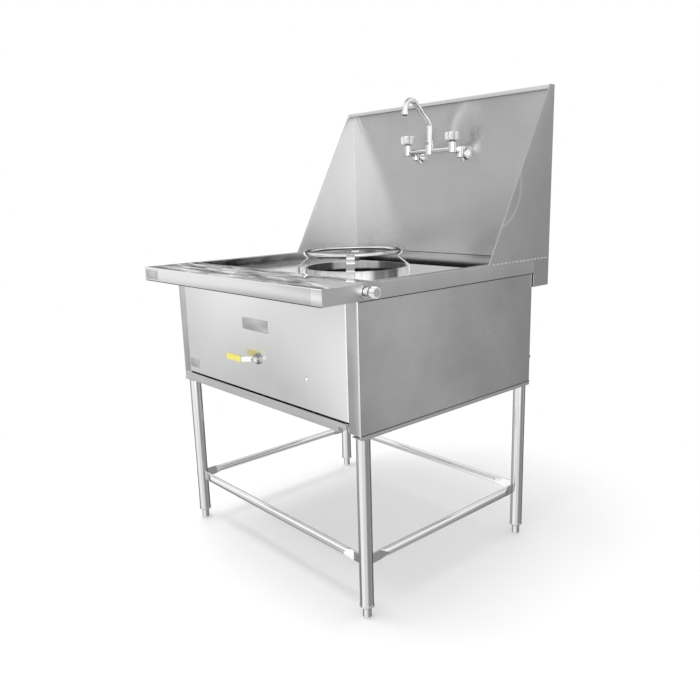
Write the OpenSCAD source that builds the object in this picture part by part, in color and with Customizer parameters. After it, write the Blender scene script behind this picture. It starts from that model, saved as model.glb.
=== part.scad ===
// Free-standing wok range in sheet steel: a basin with one open burner, a gutter along
// the back, a splash guard with a two-handle faucet, a slide-out drip tray and tube legs.
// Millimetres. X runs across the range, Y from front to back, Z up from the floor.

/* [Worktop] */
// Width of the worktop over its aprons
top_w = 900; // [840:5:1100]
// Depth of the worktop from its front edge to its back face
top_d = 930; // [880:5:1050]
// Height of the rim above the floor
rim_z = 915; // [880:5:960]
// Thickness of the sheet steel
sheet = 1.5; // [1:0.1:2]
// Height of the apron round the worktop
apron_h = 42; // [36:1:50]
// Width of the hem under the front apron
hem_w = 12; // [8:1:20]
// Width of the flat rim at each side
rim_w = 30; // [22:1:45]
// Depth of the flat shelf at the front
shelf_d = 187; // [170:1:220]
// Depth of the basin floor below the rim
basin_drop = 43; // [38:1:50]

/* [Gutter] */
// Width of the gutter from front to back
gutter_w = 80; // [65:1:100]
// Depth of the gutter floor below the rim
gutter_h = 86; // [70:1:110]
// Depth of the seam between gutter and splash panel below the rim
seam_drop = 6; // [3:0.5:12]
// Outside radius of the drain tube
drain_r = 19; // [15:0.5:25]
// Place of the drain tube to the right of the middle
drain_x = -220; // [-330:5:330]
// Length of the drain tube below the gutter
drain_len = 60; // [40:1:90]
// Width of the drain tube's welded flange
drain_flange = 9; // [5:0.5:15]

/* [Splash guard] */
// Height of the splash guard above the rim
back_rise = 515; // [450:5:600]
// Depth of the flange along the top
top_flange = 24; // [16:1:40]
// Height of the lip that hangs from the flange
top_lip = 12; // [8:1:20]
// Length of each wing's foot along the rim
wing_foot = 307; // [220:1:340]
// Width of the folded hem on each wing's slanted edge
wing_hem = 10; // [6:1:16]

/* [Cabinet] */
// Setback of the cabinet's sides behind the apron's face
side_inset = 3.5; // [3:0.5:6]
// Setback of the cabinet's front behind the worktop's front edge
front_inset = 112; // [90:1:130]
// Gap between the cabinet's back and the gutter
back_gap = 2; // [1:0.5:6]
// Height of the cabinet, from the underside of its base frame to the rim
cab_h = 400; // [370:1:430]
// Height of the base frame's upright face
base_h = 12; // [8:1:20]
// Width of the base frame's flat leg
angle_w = 40; // [34:1:44]
// Thickness of the base frame's angle
angle_t = 3; // [2:0.5:5]
// Width of each front post
post_w = 44; // [38:1:56]
// Depth of the folds on posts and panels
fold_d = 8; // [6:0.5:9]
// Gap between the front panel and the posts
panel_gap = 0.3; // [0.2:0.1:0.6]
// Height of the tray opening above the base frame
tray_open = 28.5; // [24:0.5:36]

/* [Burner] */
// Outside radius of the collar round the fire
collar_r = 167; // [150:1:185]
// Wall of the collar
collar_t = 3; // [2:0.5:5]
// Height of the collar above the basin floor
collar_rise = 26; // [20:1:34]
// Length of the collar below the basin floor
collar_skirt = 50; // [40:1:60]
// Wall of the heat drum
drum_t = 1.2; // [0.8:0.1:2]
// Gap between the heat drum's lower edge and the mixer tube under it
drum_clear = 2.5; // [1:0.5:12]
// Width of the heat drum's flange
drum_flange = 24; // [15:1:35]
// Radius of the burner's top plate
burner_r = 105; // [90:1:120]
// Height of the mixer's axis below the basin floor
burner_drop = 152; // [146:1:165]
// Radius of the burner's hub
hub_r = 46; // [40:1:52]
// Height of the burner's top plate above the mixer's axis
plate_rise = 52; // [46:1:58]
// Length of the mixer tube's bell mouth, down to its throat
throat_len = 40; // [30:1:50]
// Jets in the outer circle
jets_outer = 14; // [8:1:18]
// Jets in the inner circle
jets_inner = 7; // [4:1:9]
// Radius of one jet's foot
jet_r = 7; // [5:0.5:8]
// Height of one jet
jet_h = 18; // [12:1:24]
// Width of the bars that carry the burner
bar_w = 30; // [24:1:34]
// Thickness of the bars that carry the burner
bar_t = 4; // [3:0.5:6]

/* [Wok ring] */
// Radius of the ring at the middle of its rod
ring_r = 149; // [135:1:155]
// Radius of the rod
rod_r = 6.35; // [5:0.05:8]
// Height of the rod's middle above the basin floor
ring_rise = 73; // [66:1:90]
// Width of each strap leg
strap_w = 26; // [20:1:34]
// Thickness of each strap leg
strap_t = 5; // [3:0.5:6]
// Gap between the collar and the strap legs
strap_gap = 11; // [8:0.5:14]
// Height of the upright foot of each strap leg
strap_foot = 26; // [18:1:32]
// How far the strap legs bow inward under the rod
strap_bow = 4; // [2:0.5:6]
// Gap left where the ring is pushed over and a leg comes nearest the collar
ring_touch = 0.5; // [0.4:0.1:6]

/* [Gas line] */
// Place of the valve to the right of the middle
valve_x = 8; // [0:1:20]
// Height of the valve, as a share of the way from the base frame up to the mixer's axis
valve_share = 0.717; // [0.7:0.001:0.735]
// Depth of the valve's middle behind the front panel
valve_in = 45; // [42:1:55]
// Outside radius of the gas pipe
pipe_r = 10.65; // [9:0.05:12]
// Bore radius of the gas pipe
pipe_bore = 8; // [6:0.1:8.5]
// Height of the supply pipe, as a share of the same way
supply_share = 0.415; // [0.38:0.005:0.43]
// Length of the tails that the supply hoses push on
tail_len = 20; // [15:1:22]
// How much slimmer the tails are than their pipes
tail_step = 0.5; // [0.4:0.1:1]
// Length of the supply pipe behind the cabinet
supply_out = 26; // [20:1:40]
// Distance of the injector behind the valve
injector_set = 46; // [40:1:50]
// Radius of the valve's ball
ball_r = 12; // [11:0.5:13]
// Radius of the valve's stem
stem_r = 5; // [4:0.1:6]
// Radius of the threaded boss round the stem
boss_r = 10.5; // [10:0.5:13]
// Width across the lever
lever_w = 15; // [12:0.5:18]
// Thickness of the lever
lever_t = 3; // [2:0.1:4]
// Distance of the lever's root in front of the panel
lever_root = 13; // [12:0.5:18]
// How much further forward the lever's grip stands
lever_offset = 24; // [16:0.5:30]
// Length of the lever from its pivot
lever_len = 107; // [98:1:120]
// Length of the sleeve on the lever
grip_len = 73; // [60:1:80]
// Wall of the sleeve on the lever
grip_t = 1.6; // [1:0.1:2.5]
// Place of the dome-head bolt to the right of the middle
bolt_x = 233; // [180:1:300]
// Height of the dome-head bolt above the base frame
bolt_rise = 126; // [90:1:200]
// Radius of the bolt's shank
bolt_r = 4; // [3:0.5:5]
// Radius of the bolt's dome
bolt_head_r = 8; // [7:0.5:10]

/* [Drip tray] */
// Gap between the tray's rims and the posts
tray_gap = 2.5; // [1.5:0.5:5]
// Width of the tray's side rims
tray_rim = 35; // [30:1:50]
// Depth of the tray from its floor to its rims
tray_h = 27; // [20:0.5:28]
// Height of the tray's floor above the base frame's underside
tray_rise = 8.5; // [6:0.5:9]
// Space between the back of the tray and the rear base angle
tray_spare = 16; // [6:1:60]
// Height of the front lip's ear beside the right post
ear_h = 14; // [10:0.5:17]
// How far the front lip laps over the left post
lip_over = 36; // [20:1:40]
// How far the front lip stops short of the right post
lip_short = 6; // [3:0.5:12]
// Radius of the front lip's upper corners
lip_round = 9; // [4:0.5:11]

/* [Legs] */
// Outside radius of the leg tubes
leg_r = 19; // [16:0.5:22]
// Wall of the leg tubes
leg_t = 1.5; // [1.2:0.1:2]
// Gap between the cabinet's front or back and the leg tubes
leg_set = 6.5; // [3:0.5:10]
// Height of the rails' middle above the floor
rail_z = 165; // [120:1:250]
// Outside radius of the rails
rail_r = 12.7; // [10:0.1:14]
// Height of the rails' flattened ends
rail_flat_h = 32; // [28:1:36]
// Thickness of the rails' flattened ends
rail_flat_t = 4; // [3:0.5:6]
// Length of the rails' flattened ends
rail_flat = 26; // [15:1:40]
// Length over which a rail goes from round to flat
rail_taper = 34; // [20:1:50]
// Height of the leg tubes' lower ends above the floor
leg_z = 38; // [34:1:44]
// Height of the collars under the legs
cuff_h = 7; // [5:0.5:9]
// How far the collars stand out past the legs
cuff_out = 1.5; // [0.5:0.1:3]
// Radius of the levelling feet
foot_r = 12; // [10:0.5:15]
// Radius of the levelling feet's studs
stud_r = 8; // [6:0.5:9]
// Length of the levelling feet's studs
stud_len = 45; // [30:1:60]

/* [Faucet] */
// Place of the faucet to the right of the middle
faucet_x = 6.5; // [-20:0.5:20]
// Height of the wall inlets above the rim
faucet_rise = 335; // [300:1:380]
// Distance between the two wall inlets
inlet_w = 203.2; // [180:0.1:230]
// Distance of the faucet's body in front of the splash panel
faucet_out = 62; // [58:1:75]
// Height of the faucet's body above the wall inlets
faucet_up = 14; // [6:0.5:18]
// Radius of the wall flanges
flange_r = 25; // [21:0.5:30]
// Radius of the union tubes
union_r = 8; // [7:0.5:9]
// Radius of the faucet's bar
tap_bar_r = 8; // [6.5:0.1:9]
// Radius of the two valve housings
housing_r = 12.5; // [10:0.5:14]
// Height of the two valve housings above the bar
housing_up = 27; // [24:1:32]
// Radius of the faucet knobs
knob_r = 25.5; // [22:0.5:33]
// Height of the faucet knobs
knob_h = 26; // [20:0.5:34]
// Lobes on a knob
knob_lobes = 6; // [4:1:8]
// Radius of the knob stems
knob_stem_r = 5; // [4:0.1:6]
// Outside radius of the spout tube
spout_r = 9.5; // [8:0.1:11]
// Wall of the spout tube
spout_t = 1.2; // [0.8:0.1:1.6]
// Length of the spout's upright stretch above the bar
spout_rise = 76; // [64:1:100]
// Lean of the spout's straight stretch from upright
spout_lean = 48; // [35:1:60]
// Length of the spout's straight stretch
spout_len = 84; // [60:1:120]
// Bend radius of the spout
spout_bend = 28; // [22:0.5:36]
// Length of the spout's end stretch
spout_end = 20; // [14:1:30]
// Radius of the aerator
aerator_r = 11.5; // [11:0.5:13]
// Height of the aerator
aerator_h = 12; // [8:0.5:16]

/* [Rinse valve] */
// Distance of the rinse valve behind the worktop's front edge
rinse_y = 131; // [128:1:150]
// Depth of the rinse valve below the rim
rinse_drop = 18; // [17:0.5:20]
// Radius of the rinse valve's bonnet
bonnet_r = 11; // [9:0.5:12]
// Length of the bonnet outside the apron
bonnet_len = 28; // [12:0.5:34]
// Radius of the rinse knob
rinse_knob_r = 14.5; // [12:0.5:18]
// Length of the rinse knob
rinse_knob_len = 17; // [12:1:50]
// Radius of the rinse pipes
rinse_pipe_r = 7; // [6:0.5:7.5]
// Place of the outlet to the right of the middle
outlet_x = 330; // [250:5:370]

/* [Fits] */
// Radial clearance of a turning shaft in its bore
run_fit = 0.05; // [0.02:0.01:0.1]
// Gap between a loose piece and what it stands or slides on
seat_gap = 0.3; // [0.2:0.05:0.5]
// Radial clearance of fixed round pieces in their holes
hole_fit = 0.2; // [0.1:0.05:0.4]

/* [Hidden] */
$fn = 64;

// Colours
brushed = [0.74, 0.75, 0.76];
polished = [0.86, 0.87, 0.88];
chrome = [0.90, 0.91, 0.92];
iron = [0.20, 0.20, 0.21];
brass = [0.72, 0.58, 0.28];
yellow = [0.97, 0.87, 0.22];
acrylic = [0.93, 0.94, 0.94];

// Worktop
half_w = top_w / 2;
skin_x = half_w - sheet;
basin_x = half_w - rim_w;
apron_z = rim_z - apron_h;
floor_z = rim_z - basin_drop;
under_z = floor_z - sheet;
gutter_y = top_d - gutter_w;
gutter_z = rim_z - gutter_h;
seam_z = rim_z - seam_drop;
top_z = rim_z + back_rise;
burner_y = (shelf_d + gutter_y) / 2;

// Cabinet
cab_x = half_w - side_inset;
cab_front = front_inset;
cab_back = gutter_y - back_gap;
base_z = rim_z - cab_h;
cab_z = base_z + base_h;
cab_top = rim_z - sheet;
inner_x = cab_x - sheet;
post_x = cab_x - post_w;
panel_z = cab_z + tray_open;

// Drip tray and its runners
rim_x = post_x - tray_gap;
tray_x = rim_x - tray_rim;
tray_z = base_z + tray_rise;
tray_top = tray_z + tray_h;
tray_back = cab_back - angle_w - tray_spare;
runner_z = tray_top - sheet - seat_gap;
runner_x = rim_x - tray_rim / 2;
lip_t = 2 * sheet;
lip_y = cab_front - seat_gap;

// Legs
leg_x = cab_x - leg_r;
leg_front = cab_front + leg_set + leg_r;
leg_back = cab_back - leg_set - leg_r;
leg_top = base_z;
foot_neck = leg_z - cuff_h;

// Burner and wok ring
burner_z = floor_z - burner_drop;
plate_z = burner_z + plate_rise;
plate_t = 12;
inlet_r = 24;
hub_half = inlet_r + 1;
inlet_len = 34;
mixer_r = inlet_r - 6;
drum_z = burner_z + mixer_r + drum_clear;
bar_pitch = hub_r;
strap_x = collar_r + strap_gap + strap_t / 2;
ring_z = floor_z + ring_rise;
ring_off = (strap_gap - ring_touch) / sqrt(2);

// Gas line
valve_y = cab_front + valve_in;
valve_z = base_z + valve_share * (burner_z - base_z);
supply_z = base_z + supply_share * (burner_z - base_z);
supply_drop = valve_z - supply_z;
port_h = 32;
port_r = pipe_r + 5;
port_depth = 12;
boss_out = 9;
gland_t = 6;
nut_t = 6;
root_y = cab_front - lever_root;
injector_y = valve_y + injector_set;
mouth_y = injector_y + 22;
inlet_y = burner_y - hub_r - inlet_len;
bolt_z = base_z + bolt_rise;

// Faucet
inlet_z = rim_z + faucet_rise;
wall_y = top_d - sheet;
faucet_y = wall_y - faucet_out;
tap_z = inlet_z + faucet_up;
boss_tap_r = spout_r + 5;
boss_tap_up = 20;
boss_tap_down = 12;
spout_nut_h = 13;
spout_seat = 8;
spout_turn = 172 - spout_lean;
bend_lap = 1;
bend_step = 0.12;
housing_down = 14;
knob_gap = 1.5;
knob_bite = 16;
union_nut_r = union_r + 6;
union_step = 1;
union_nut_h = 13;
nipple_r = union_r + 2;
nipple_out = 24;
riser_r = nipple_r + 1;
flange_h = 9;

// Rinse valve
rinse_z = rim_z - rinse_drop;
rinse_body_r = bonnet_r - 1;
rinse_seat_t = 7;
rinse_stem_r = knob_stem_r;
rinse_body_in = 34;
rinse_tee_x = cab_x - 22;
rinse_low_z = supply_z;
knob_end_x = half_w + bonnet_len + knob_gap + rinse_knob_len;

// The frame's origin lies on the floor under the middle of the whole outline
mid_x = (knob_end_x - half_w) / 2;
mid_y = (top_d + nipple_out) / 2;

// Moves a piece from the worktop's own axes to the frame's origin
module placed() {
    translate([-mid_x, -mid_y, 0]) children();
}

// Block between two limits along each axis
module span(x, y, z) {
    translate([x[0], y[0], z[0]]) cube([x[1] - x[0], y[1] - y[0], z[1] - z[0]]);
}

// A piece and its mirror image on the other side
module pair() {
    children();
    mirror([1, 0, 0]) children();
}

// Rod along each axis, starting at a point
module rod_x(p, r, len) {
    translate(p) rotate([0, 90, 0]) cylinder(r = r, h = len);
}

module rod_y(p, r, len) {
    translate(p) rotate([-90, 0, 0]) cylinder(r = r, h = len);
}

module rod_z(p, r, len) {
    translate(p) cylinder(r = r, h = len);
}

// Hexagon bar along Y with a given radius to its corners
module hex_y(p, r, len) {
    translate(p) rotate([-90, 0, 0]) rotate(30) cylinder(r = r, h = len, $fn = 6);
}

// Outline of a strip of even thickness along a bent line
function unit(v) = v / norm(v);
function side(v) = [-v[1], v[0]];
function run_in(p, i) = unit(i > 0 ? p[i] - p[i - 1] : p[1] - p[0]);
function run_out(p, i) = i < len(p) - 1 ? unit(p[i + 1] - p[i]) : run_in(p, i);
function mitre(p, i) =
    let (m = unit(side(run_in(p, i)) + side(run_out(p, i))))
    m / (m * side(run_in(p, i)));
function strip(p, t) = concat(
    [for (i = [0 : len(p) - 1]) p[i] + mitre(p, i) * t / 2],
    [for (i = [len(p) - 1 : -1 : 0]) p[i] - mitre(p, i) * t / 2]
);

// Front shelf: apron with its hem, flat top and the wall down to the basin
module front_shelf() {
    placed() color(brushed) difference() {
        union() {
            span([-skin_x, skin_x], [0, sheet], [apron_z, rim_z]);
            span([-skin_x, skin_x], [sheet, hem_w], [apron_z, apron_z + sheet]);
            span([-skin_x, skin_x], [sheet, shelf_d], [rim_z - sheet, rim_z]);
            span([panel_gap - inner_x, inner_x - panel_gap], [shelf_d - sheet, shelf_d], [under_z, rim_z - sheet]);
        }
        rod_y([outlet_x, shelf_d - 2 * sheet, rinse_z], rinse_pipe_r + hole_fit, 4 * sheet);
    }
}

// Side rim: apron along the whole side, flat rim and inner wall beside the basin
module side_rim() {
    span([skin_x, half_w], [0, gutter_y], [apron_z, rim_z]);
    span([basin_x, skin_x], [shelf_d, gutter_y], [rim_z - sheet, rim_z]);
    span([basin_x, basin_x + sheet], [shelf_d, gutter_y], [under_z, rim_z - sheet]);
}

module left_rim() {
    placed() color(brushed) mirror([1, 0, 0]) side_rim();
}

module right_rim() {
    placed() color(brushed) difference() {
        side_rim();
        rod_x([skin_x - sheet, rinse_y, rinse_z], rinse_body_r + hole_fit, 4 * sheet);
    }
}

// Basin floor with the hole for the collar
module basin_floor() {
    placed() color(polished) difference() {
        span([-basin_x, basin_x], [shelf_d, gutter_y], [under_z, floor_z]);
        rod_z([0, burner_y, under_z - sheet], collar_r + hole_fit, 4 * sheet);
    }
}

// Gutter behind the basin, with its end plates and drain hole
module gutter() {
    placed() color(brushed) difference() {
        union() {
            span([-skin_x, skin_x], [gutter_y, gutter_y + sheet], [gutter_z, floor_z]);
            span([-skin_x, skin_x], [gutter_y + sheet, top_d - sheet], [gutter_z, gutter_z + sheet]);
            span([-skin_x, skin_x], [top_d - sheet, top_d], [gutter_z, seam_z]);
            pair() span([skin_x, half_w], [gutter_y, top_d], [gutter_z, rim_z]);
            pair() span([basin_x, skin_x], [gutter_y, gutter_y + sheet], [floor_z, rim_z]);
        }
        rod_z([drain_x, top_d - gutter_w / 2, gutter_z - sheet], drain_r - sheet, 4 * sheet);
    }
}

// Drain tube welded under the gutter
module drain_tube() {
    placed() color(brushed) translate([drain_x, top_d - gutter_w / 2, gutter_z]) difference() {
        union() {
            rod_z([0, 0, -drain_len], drain_r, drain_len);
            rod_z([0, 0, -angle_t], drain_r + drain_flange, angle_t);
        }
        rod_z([0, 0, -drain_len - 1], drain_r - sheet, drain_len + 2);
    }
}

// Splash panel with its top flange and lip, drilled for the two wall inlets
module back_panel() {
    placed() color(brushed) difference() {
        union() {
            span([-skin_x, skin_x], [wall_y, top_d], [seam_z, top_z]);
            span([-skin_x + sheet, skin_x - sheet], [top_d - top_flange, wall_y], [top_z - sheet, top_z]);
            span(
                [-skin_x + sheet, skin_x - sheet],
                [top_d - top_flange, top_d - top_flange + sheet],
                [top_z - top_lip, top_z - sheet]
            );
        }
        for (x = [-inlet_w / 2, inlet_w / 2])
            rod_y([faucet_x + x, wall_y - sheet, inlet_z], nipple_r + hole_fit, 4 * sheet);
    }
}

// Wing in the YZ plane, with a doubled hem along its slanted edge
module wing() {
    foot = top_d - wing_foot;
    head = top_d - top_flange;
    translate([skin_x, 0, 0]) rotate([90, 0, 90]) linear_extrude(sheet)
        polygon([[foot, rim_z], [head, top_z], [top_d, top_z], [top_d, rim_z]]);
    translate([skin_x - sheet, 0, 0]) rotate([90, 0, 90]) linear_extrude(sheet)
        polygon([[foot, rim_z], [head, top_z], [head + wing_hem, top_z], [foot + wing_hem, rim_z]]);
}

module left_wing() {
    placed() color(brushed) mirror([1, 0, 0]) wing();
}

module right_wing() {
    placed() color(brushed) wing();
}

// Front panel with folded edges, drilled for the valve and the bolt
module front_panel() {
    x = post_x - panel_gap;
    placed() color(brushed) difference() {
        union() {
            span([-x, x], [cab_front, cab_front + sheet], [panel_z, cab_top]);
            pair() span([x - sheet, x], [cab_front + sheet, cab_front + fold_d], [panel_z, cab_top]);
            span([sheet - x, x - sheet], [cab_front + sheet, cab_front + fold_d], [panel_z, panel_z + sheet]);
        }
        rod_y([valve_x, cab_front - sheet, valve_z], boss_r + hole_fit, 4 * sheet);
        rod_y([bolt_x, cab_front - sheet, bolt_z], bolt_r + hole_fit, 4 * sheet);
    }
}

// Side panel folded round the front post and the rear edge
module side_panel() {
    span([inner_x, cab_x], [cab_front, cab_back], [cab_z, cab_top]);
    span([post_x, inner_x], [cab_front, cab_front + sheet], [cab_z, cab_top]);
    span([post_x, post_x + sheet], [cab_front + sheet, cab_front + fold_d], [cab_z, cab_top]);
    span([inner_x - fold_d, inner_x], [cab_back - sheet, cab_back], [cab_z, under_z]);
}

module left_side_panel() {
    placed() color(brushed) mirror([1, 0, 0]) side_panel();
}

module right_side_panel() {
    placed() color(brushed) difference() {
        side_panel();
        rod_x([inner_x - sheet, rinse_y, rinse_z], rinse_body_r + hole_fit, 4 * sheet);
    }
}

// Rear panel, drilled for the gas and rinse pipes
module rear_panel() {
    y = cab_back - sheet;
    placed() color(brushed) difference() {
        span([-inner_x, inner_x], [y - sheet, y], [cab_z, under_z]);
        rod_y([valve_x, y - 2 * sheet, supply_z], pipe_r + hole_fit, 4 * sheet);
        rod_y([rinse_tee_x, y - 2 * sheet, rinse_low_z], rinse_pipe_r + hole_fit, 4 * sheet);
    }
}

// Angles under the side panels
module side_base_angles() {
    placed() color(brushed) pair() {
        span([cab_x - angle_w, cab_x], [leg_front - leg_r, cab_back], [base_z, base_z + angle_t]);
        span([cab_x - angle_t, cab_x], [cab_front, cab_back], [base_z + angle_t, cab_z]);
    }
}

// Angle under the rear panel
module rear_base_angle() {
    x = cab_x - angle_w;
    placed() color(brushed) {
        span([-x, x], [cab_back - angle_w, cab_back], [base_z, base_z + angle_t]);
        span([-x, x], [cab_back - 2 * sheet - angle_t, cab_back], [base_z + angle_t, cab_z]);
    }
}

// Angles inside the side panels that carry the tray's rims
module tray_runners() {
    y = [cab_front + fold_d + 4, tray_back];
    placed() color(brushed) pair() {
        span([runner_x, inner_x], y, [runner_z - angle_t, runner_z]);
        span([inner_x - angle_t, inner_x], y, [runner_z, runner_z + angle_w / 2]);
    }
}

// Repeats a piece at the four legs
module at_legs() {
    for (x = [-leg_x, leg_x], y = [leg_front, leg_back]) translate([x, y, 0]) children();
}

// Leg tube
module leg(x, y) {
    placed() color(polished) translate([x, y, leg_z]) difference() {
        cylinder(r = leg_r, h = leg_top - leg_z);
        rod_z([0, 0, -1], leg_r - leg_t, leg_top - leg_z + 2);
    }
}

module leg_front_left() leg(-leg_x, leg_front);
module leg_front_right() leg(leg_x, leg_front);
module leg_rear_left() leg(-leg_x, leg_back);
module leg_rear_right() leg(leg_x, leg_back);

// Rail along X from its middle, round between two flattened ends
module rail(len) {
    flat_x = len / 2 - rail_flat;
    round_x = flat_x - rail_taper;
    rod_x([-round_x, 0, 0], rail_r, 2 * round_x);
    pair() {
        span([flat_x, len / 2], [-rail_flat_t, rail_flat_t] / 2, [-rail_flat_h, rail_flat_h] / 2);
        hull() {
            rod_x([round_x, 0, 0], rail_r, 0.1, $fn = 32);
            span([flat_x, flat_x + 0.1], [-rail_flat_t, rail_flat_t] / 2, [-rail_flat_h, rail_flat_h] / 2);
        }
    }
}

module cross_rail(y) {
    placed() color(polished) translate([0, y, rail_z]) rail(2 * (leg_x - leg_r));
}

module long_rail(x) {
    placed() color(polished) translate([x, (leg_front + leg_back) / 2, rail_z])
        rotate(90) rail(leg_back - leg_front - 2 * leg_r);
}

module front_rail() cross_rail(leg_front);
module rear_rail() cross_rail(leg_back);
module left_rail() long_rail(-leg_x);
module right_rail() long_rail(leg_x);

// Threaded plugs pressed into the legs, each with a collar below the tube
module foot_collars() {
    plug = leg_r - leg_t - hole_fit;
    cuff = leg_r + cuff_out;
    placed() color(polished) at_legs() difference() {
        rotate_extrude() polygon([
            [0, foot_neck],
            [cuff - cuff_h / 2, foot_neck],
            [cuff, foot_neck + cuff_h / 2],
            [cuff, leg_z],
            [plug, leg_z],
            [plug, foot_neck + stud_len],
            [0, foot_neck + stud_len]
        ]);
        rod_z([0, 0, foot_neck - 1], stud_r + run_fit, stud_len + 2);
    }
}

// Levelling foot: a bullet with a rounded nose and a threaded stud
module foot(x, y) {
    nose = foot_r / 3;
    head = foot_neck - seat_gap;
    placed() color(polished) translate([x, y, 0]) rotate_extrude() {
        square([foot_r - nose, head]);
        translate([0, nose]) square([foot_r, head - nose]);
        translate([foot_r - nose, nose]) circle(nose);
        square([stud_r, foot_neck + stud_len - 2]);
    }
}

module foot_front_left() foot(-leg_x, leg_front);
module foot_front_right() foot(leg_x, leg_front);
module foot_rear_left() foot(-leg_x, leg_back);
module foot_rear_right() foot(leg_x, leg_back);

// Collar round the fire, with a rounded upper edge
module burner_collar() {
    bead = collar_t / 2;
    low = floor_z - collar_skirt;
    high = floor_z + collar_rise - bead;
    placed() color(polished) translate([0, burner_y, 0]) rotate_extrude($fn = 128) {
        translate([collar_r - collar_t, low]) square([collar_t, high - low]);
        translate([collar_r - bead, high]) circle(bead, $fn = 24);
    }
}

// Heat drum hung from a flange under the basin floor
module heat_drum() {
    r = collar_r + hole_fit;
    placed() color(brushed) translate([0, burner_y, 0]) rotate_extrude($fn = 128) {
        translate([r, drum_z]) square([drum_t, under_z - drum_z]);
        translate([r, under_z - drum_t]) square([drum_flange, drum_t]);
    }
}

// Two bars from side panel to side panel that carry the burner
module burner_bars() {
    placed() color(brushed) for (y = [-bar_pitch, bar_pitch])
        span(
            [-inner_x, inner_x],
            [burner_y + y - bar_w / 2, burner_y + y + bar_w / 2],
            [burner_z - hub_half - bar_t, burner_z - hub_half]
        );
}

// Cast burner: hub, flared chamber, top plate and the mixer's socket
module burner_head() {
    placed() color(iron) difference() {
        union() {
            translate([0, burner_y, 0]) rotate_extrude() polygon([
                [0, burner_z - hub_half],
                [hub_r, burner_z - hub_half],
                [hub_r, burner_z + hub_half],
                [burner_r, plate_z],
                [burner_r, plate_z + plate_t],
                [0, plate_z + plate_t]
            ]);
            rod_y([valve_x, inlet_y, burner_z], inlet_r, inlet_len + hub_r / 2);
        }
        rod_y([valve_x, inlet_y - 1, burner_z], mixer_r + hole_fit, inlet_len + 1);
    }
}

// Brass jets screwed into the top plate in two circles
module burner_jets() {
    placed() color(brass) translate([0, burner_y, plate_z + plate_t]) {
        jet_ring(jets_outer, burner_r - 2 * jet_r);
        jet_ring(jets_inner, burner_r / 2);
    }
}

module jet_ring(count, r) {
    for (i = [0 : count - 1]) rotate(i * 360 / count) translate([r, 0, 0]) difference() {
        cylinder(r1 = jet_r, r2 = jet_r * 0.6, h = jet_h);
        rod_z([0, 0, jet_h / 2], jet_r / 4, jet_h);
    }
}

// Mixer tube with a bell mouth that faces the injector
module mixer_tube() {
    len = inlet_y + inlet_len - hole_fit - mouth_y;
    bell = mixer_r + 10;
    wall = 3;
    placed() color(iron) translate([valve_x, mouth_y, burner_z]) rotate([-90, 0, 0]) rotate_extrude()
        polygon([
            [bell - wall, 0],
            [bell, 0],
            [bell, 6],
            [mixer_r - 2, throat_len],
            [mixer_r, 2 * throat_len],
            [mixer_r, len],
            [mixer_r - wall, len],
            [mixer_r - wall, 2 * throat_len],
            [mixer_r - 2 - wall, throat_len]
        ]);
}

// Brass injector on the end of the burner pipe
module injector() {
    placed() color(brass) difference() {
        union() {
            hex_y([valve_x, injector_y - 12, burner_z], pipe_r + 4, 14);
            translate([valve_x, injector_y + 2, burner_z]) rotate([-90, 0, 0])
                cylinder(r1 = pipe_r - 2, r2 = 4, h = 16);
        }
        rod_y([valve_x, injector_y - 13, burner_z], pipe_r + hole_fit, 11);
        rod_y([valve_x, injector_y - 4, burner_z], 1.2, 30);
    }
}

// Pipe from the valve up and back to the injector
module burner_pipe() {
    placed() color(brushed) difference() {
        union() {
            rod_z([valve_x, valve_y, valve_z + port_h - port_depth], pipe_r, burner_z - valve_z - port_h + port_depth);
            translate([valve_x, valve_y, burner_z]) sphere(pipe_r);
            rod_y([valve_x, valve_y, burner_z], pipe_r, injector_y - valve_y - 3);
        }
        rod_z([valve_x, valve_y, valve_z], pipe_bore, burner_z - valve_z);
        rod_y([valve_x, valve_y, burner_z], pipe_bore, injector_y - valve_y);
    }
}

// Supply pipe from the valve down and out through the rear panel
module gas_supply_pipe() {
    len = cab_back + supply_out - valve_y;
    placed() color(brushed) difference() {
        union() {
            rod_z([valve_x, valve_y, supply_z], pipe_r, supply_drop - port_h + port_depth);
            translate([valve_x, valve_y, supply_z]) sphere(pipe_r);
            rod_y([valve_x, valve_y, supply_z], pipe_r, len - tail_len);
            rod_y([valve_x, valve_y, supply_z], pipe_r - tail_step, len);
        }
        rod_z([valve_x, valve_y, supply_z], pipe_bore, supply_drop);
        rod_y([valve_x, valve_y, supply_z], pipe_bore, len + 1);
    }
}

// Valve body with upright ports, the ball's seat and the stem's boss
module valve_body() {
    placed() color(chrome) translate([valve_x, valve_y, valve_z]) difference() {
        union() {
            sphere(ball_r + 8);
            rod_z([0, 0, -port_h], port_r, 2 * port_h);
            rod_y([0, -valve_in - boss_out, 0], boss_r, valve_in + boss_out);
        }
        sphere(ball_r + hole_fit);
        rod_z([0, 0, -port_h - 1], pipe_bore, 2 * port_h + 2);
        for (z = [-port_h - 1, port_h - port_depth])
            rod_z([0, 0, z], pipe_r + hole_fit, port_depth + 1);
        rod_y([0, -valve_in - boss_out - 1, 0], stem_r + run_fit, valve_in + boss_out);
    }
}

// Hexagon nut that clamps the valve's boss to the front panel
module valve_gland() {
    placed() color(chrome) difference() {
        hex_y([valve_x, cab_front - gland_t, valve_z], boss_r + 6, gland_t);
        rod_y([valve_x, cab_front - gland_t - 1, valve_z], boss_r + hole_fit, gland_t + 2);
    }
}

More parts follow.
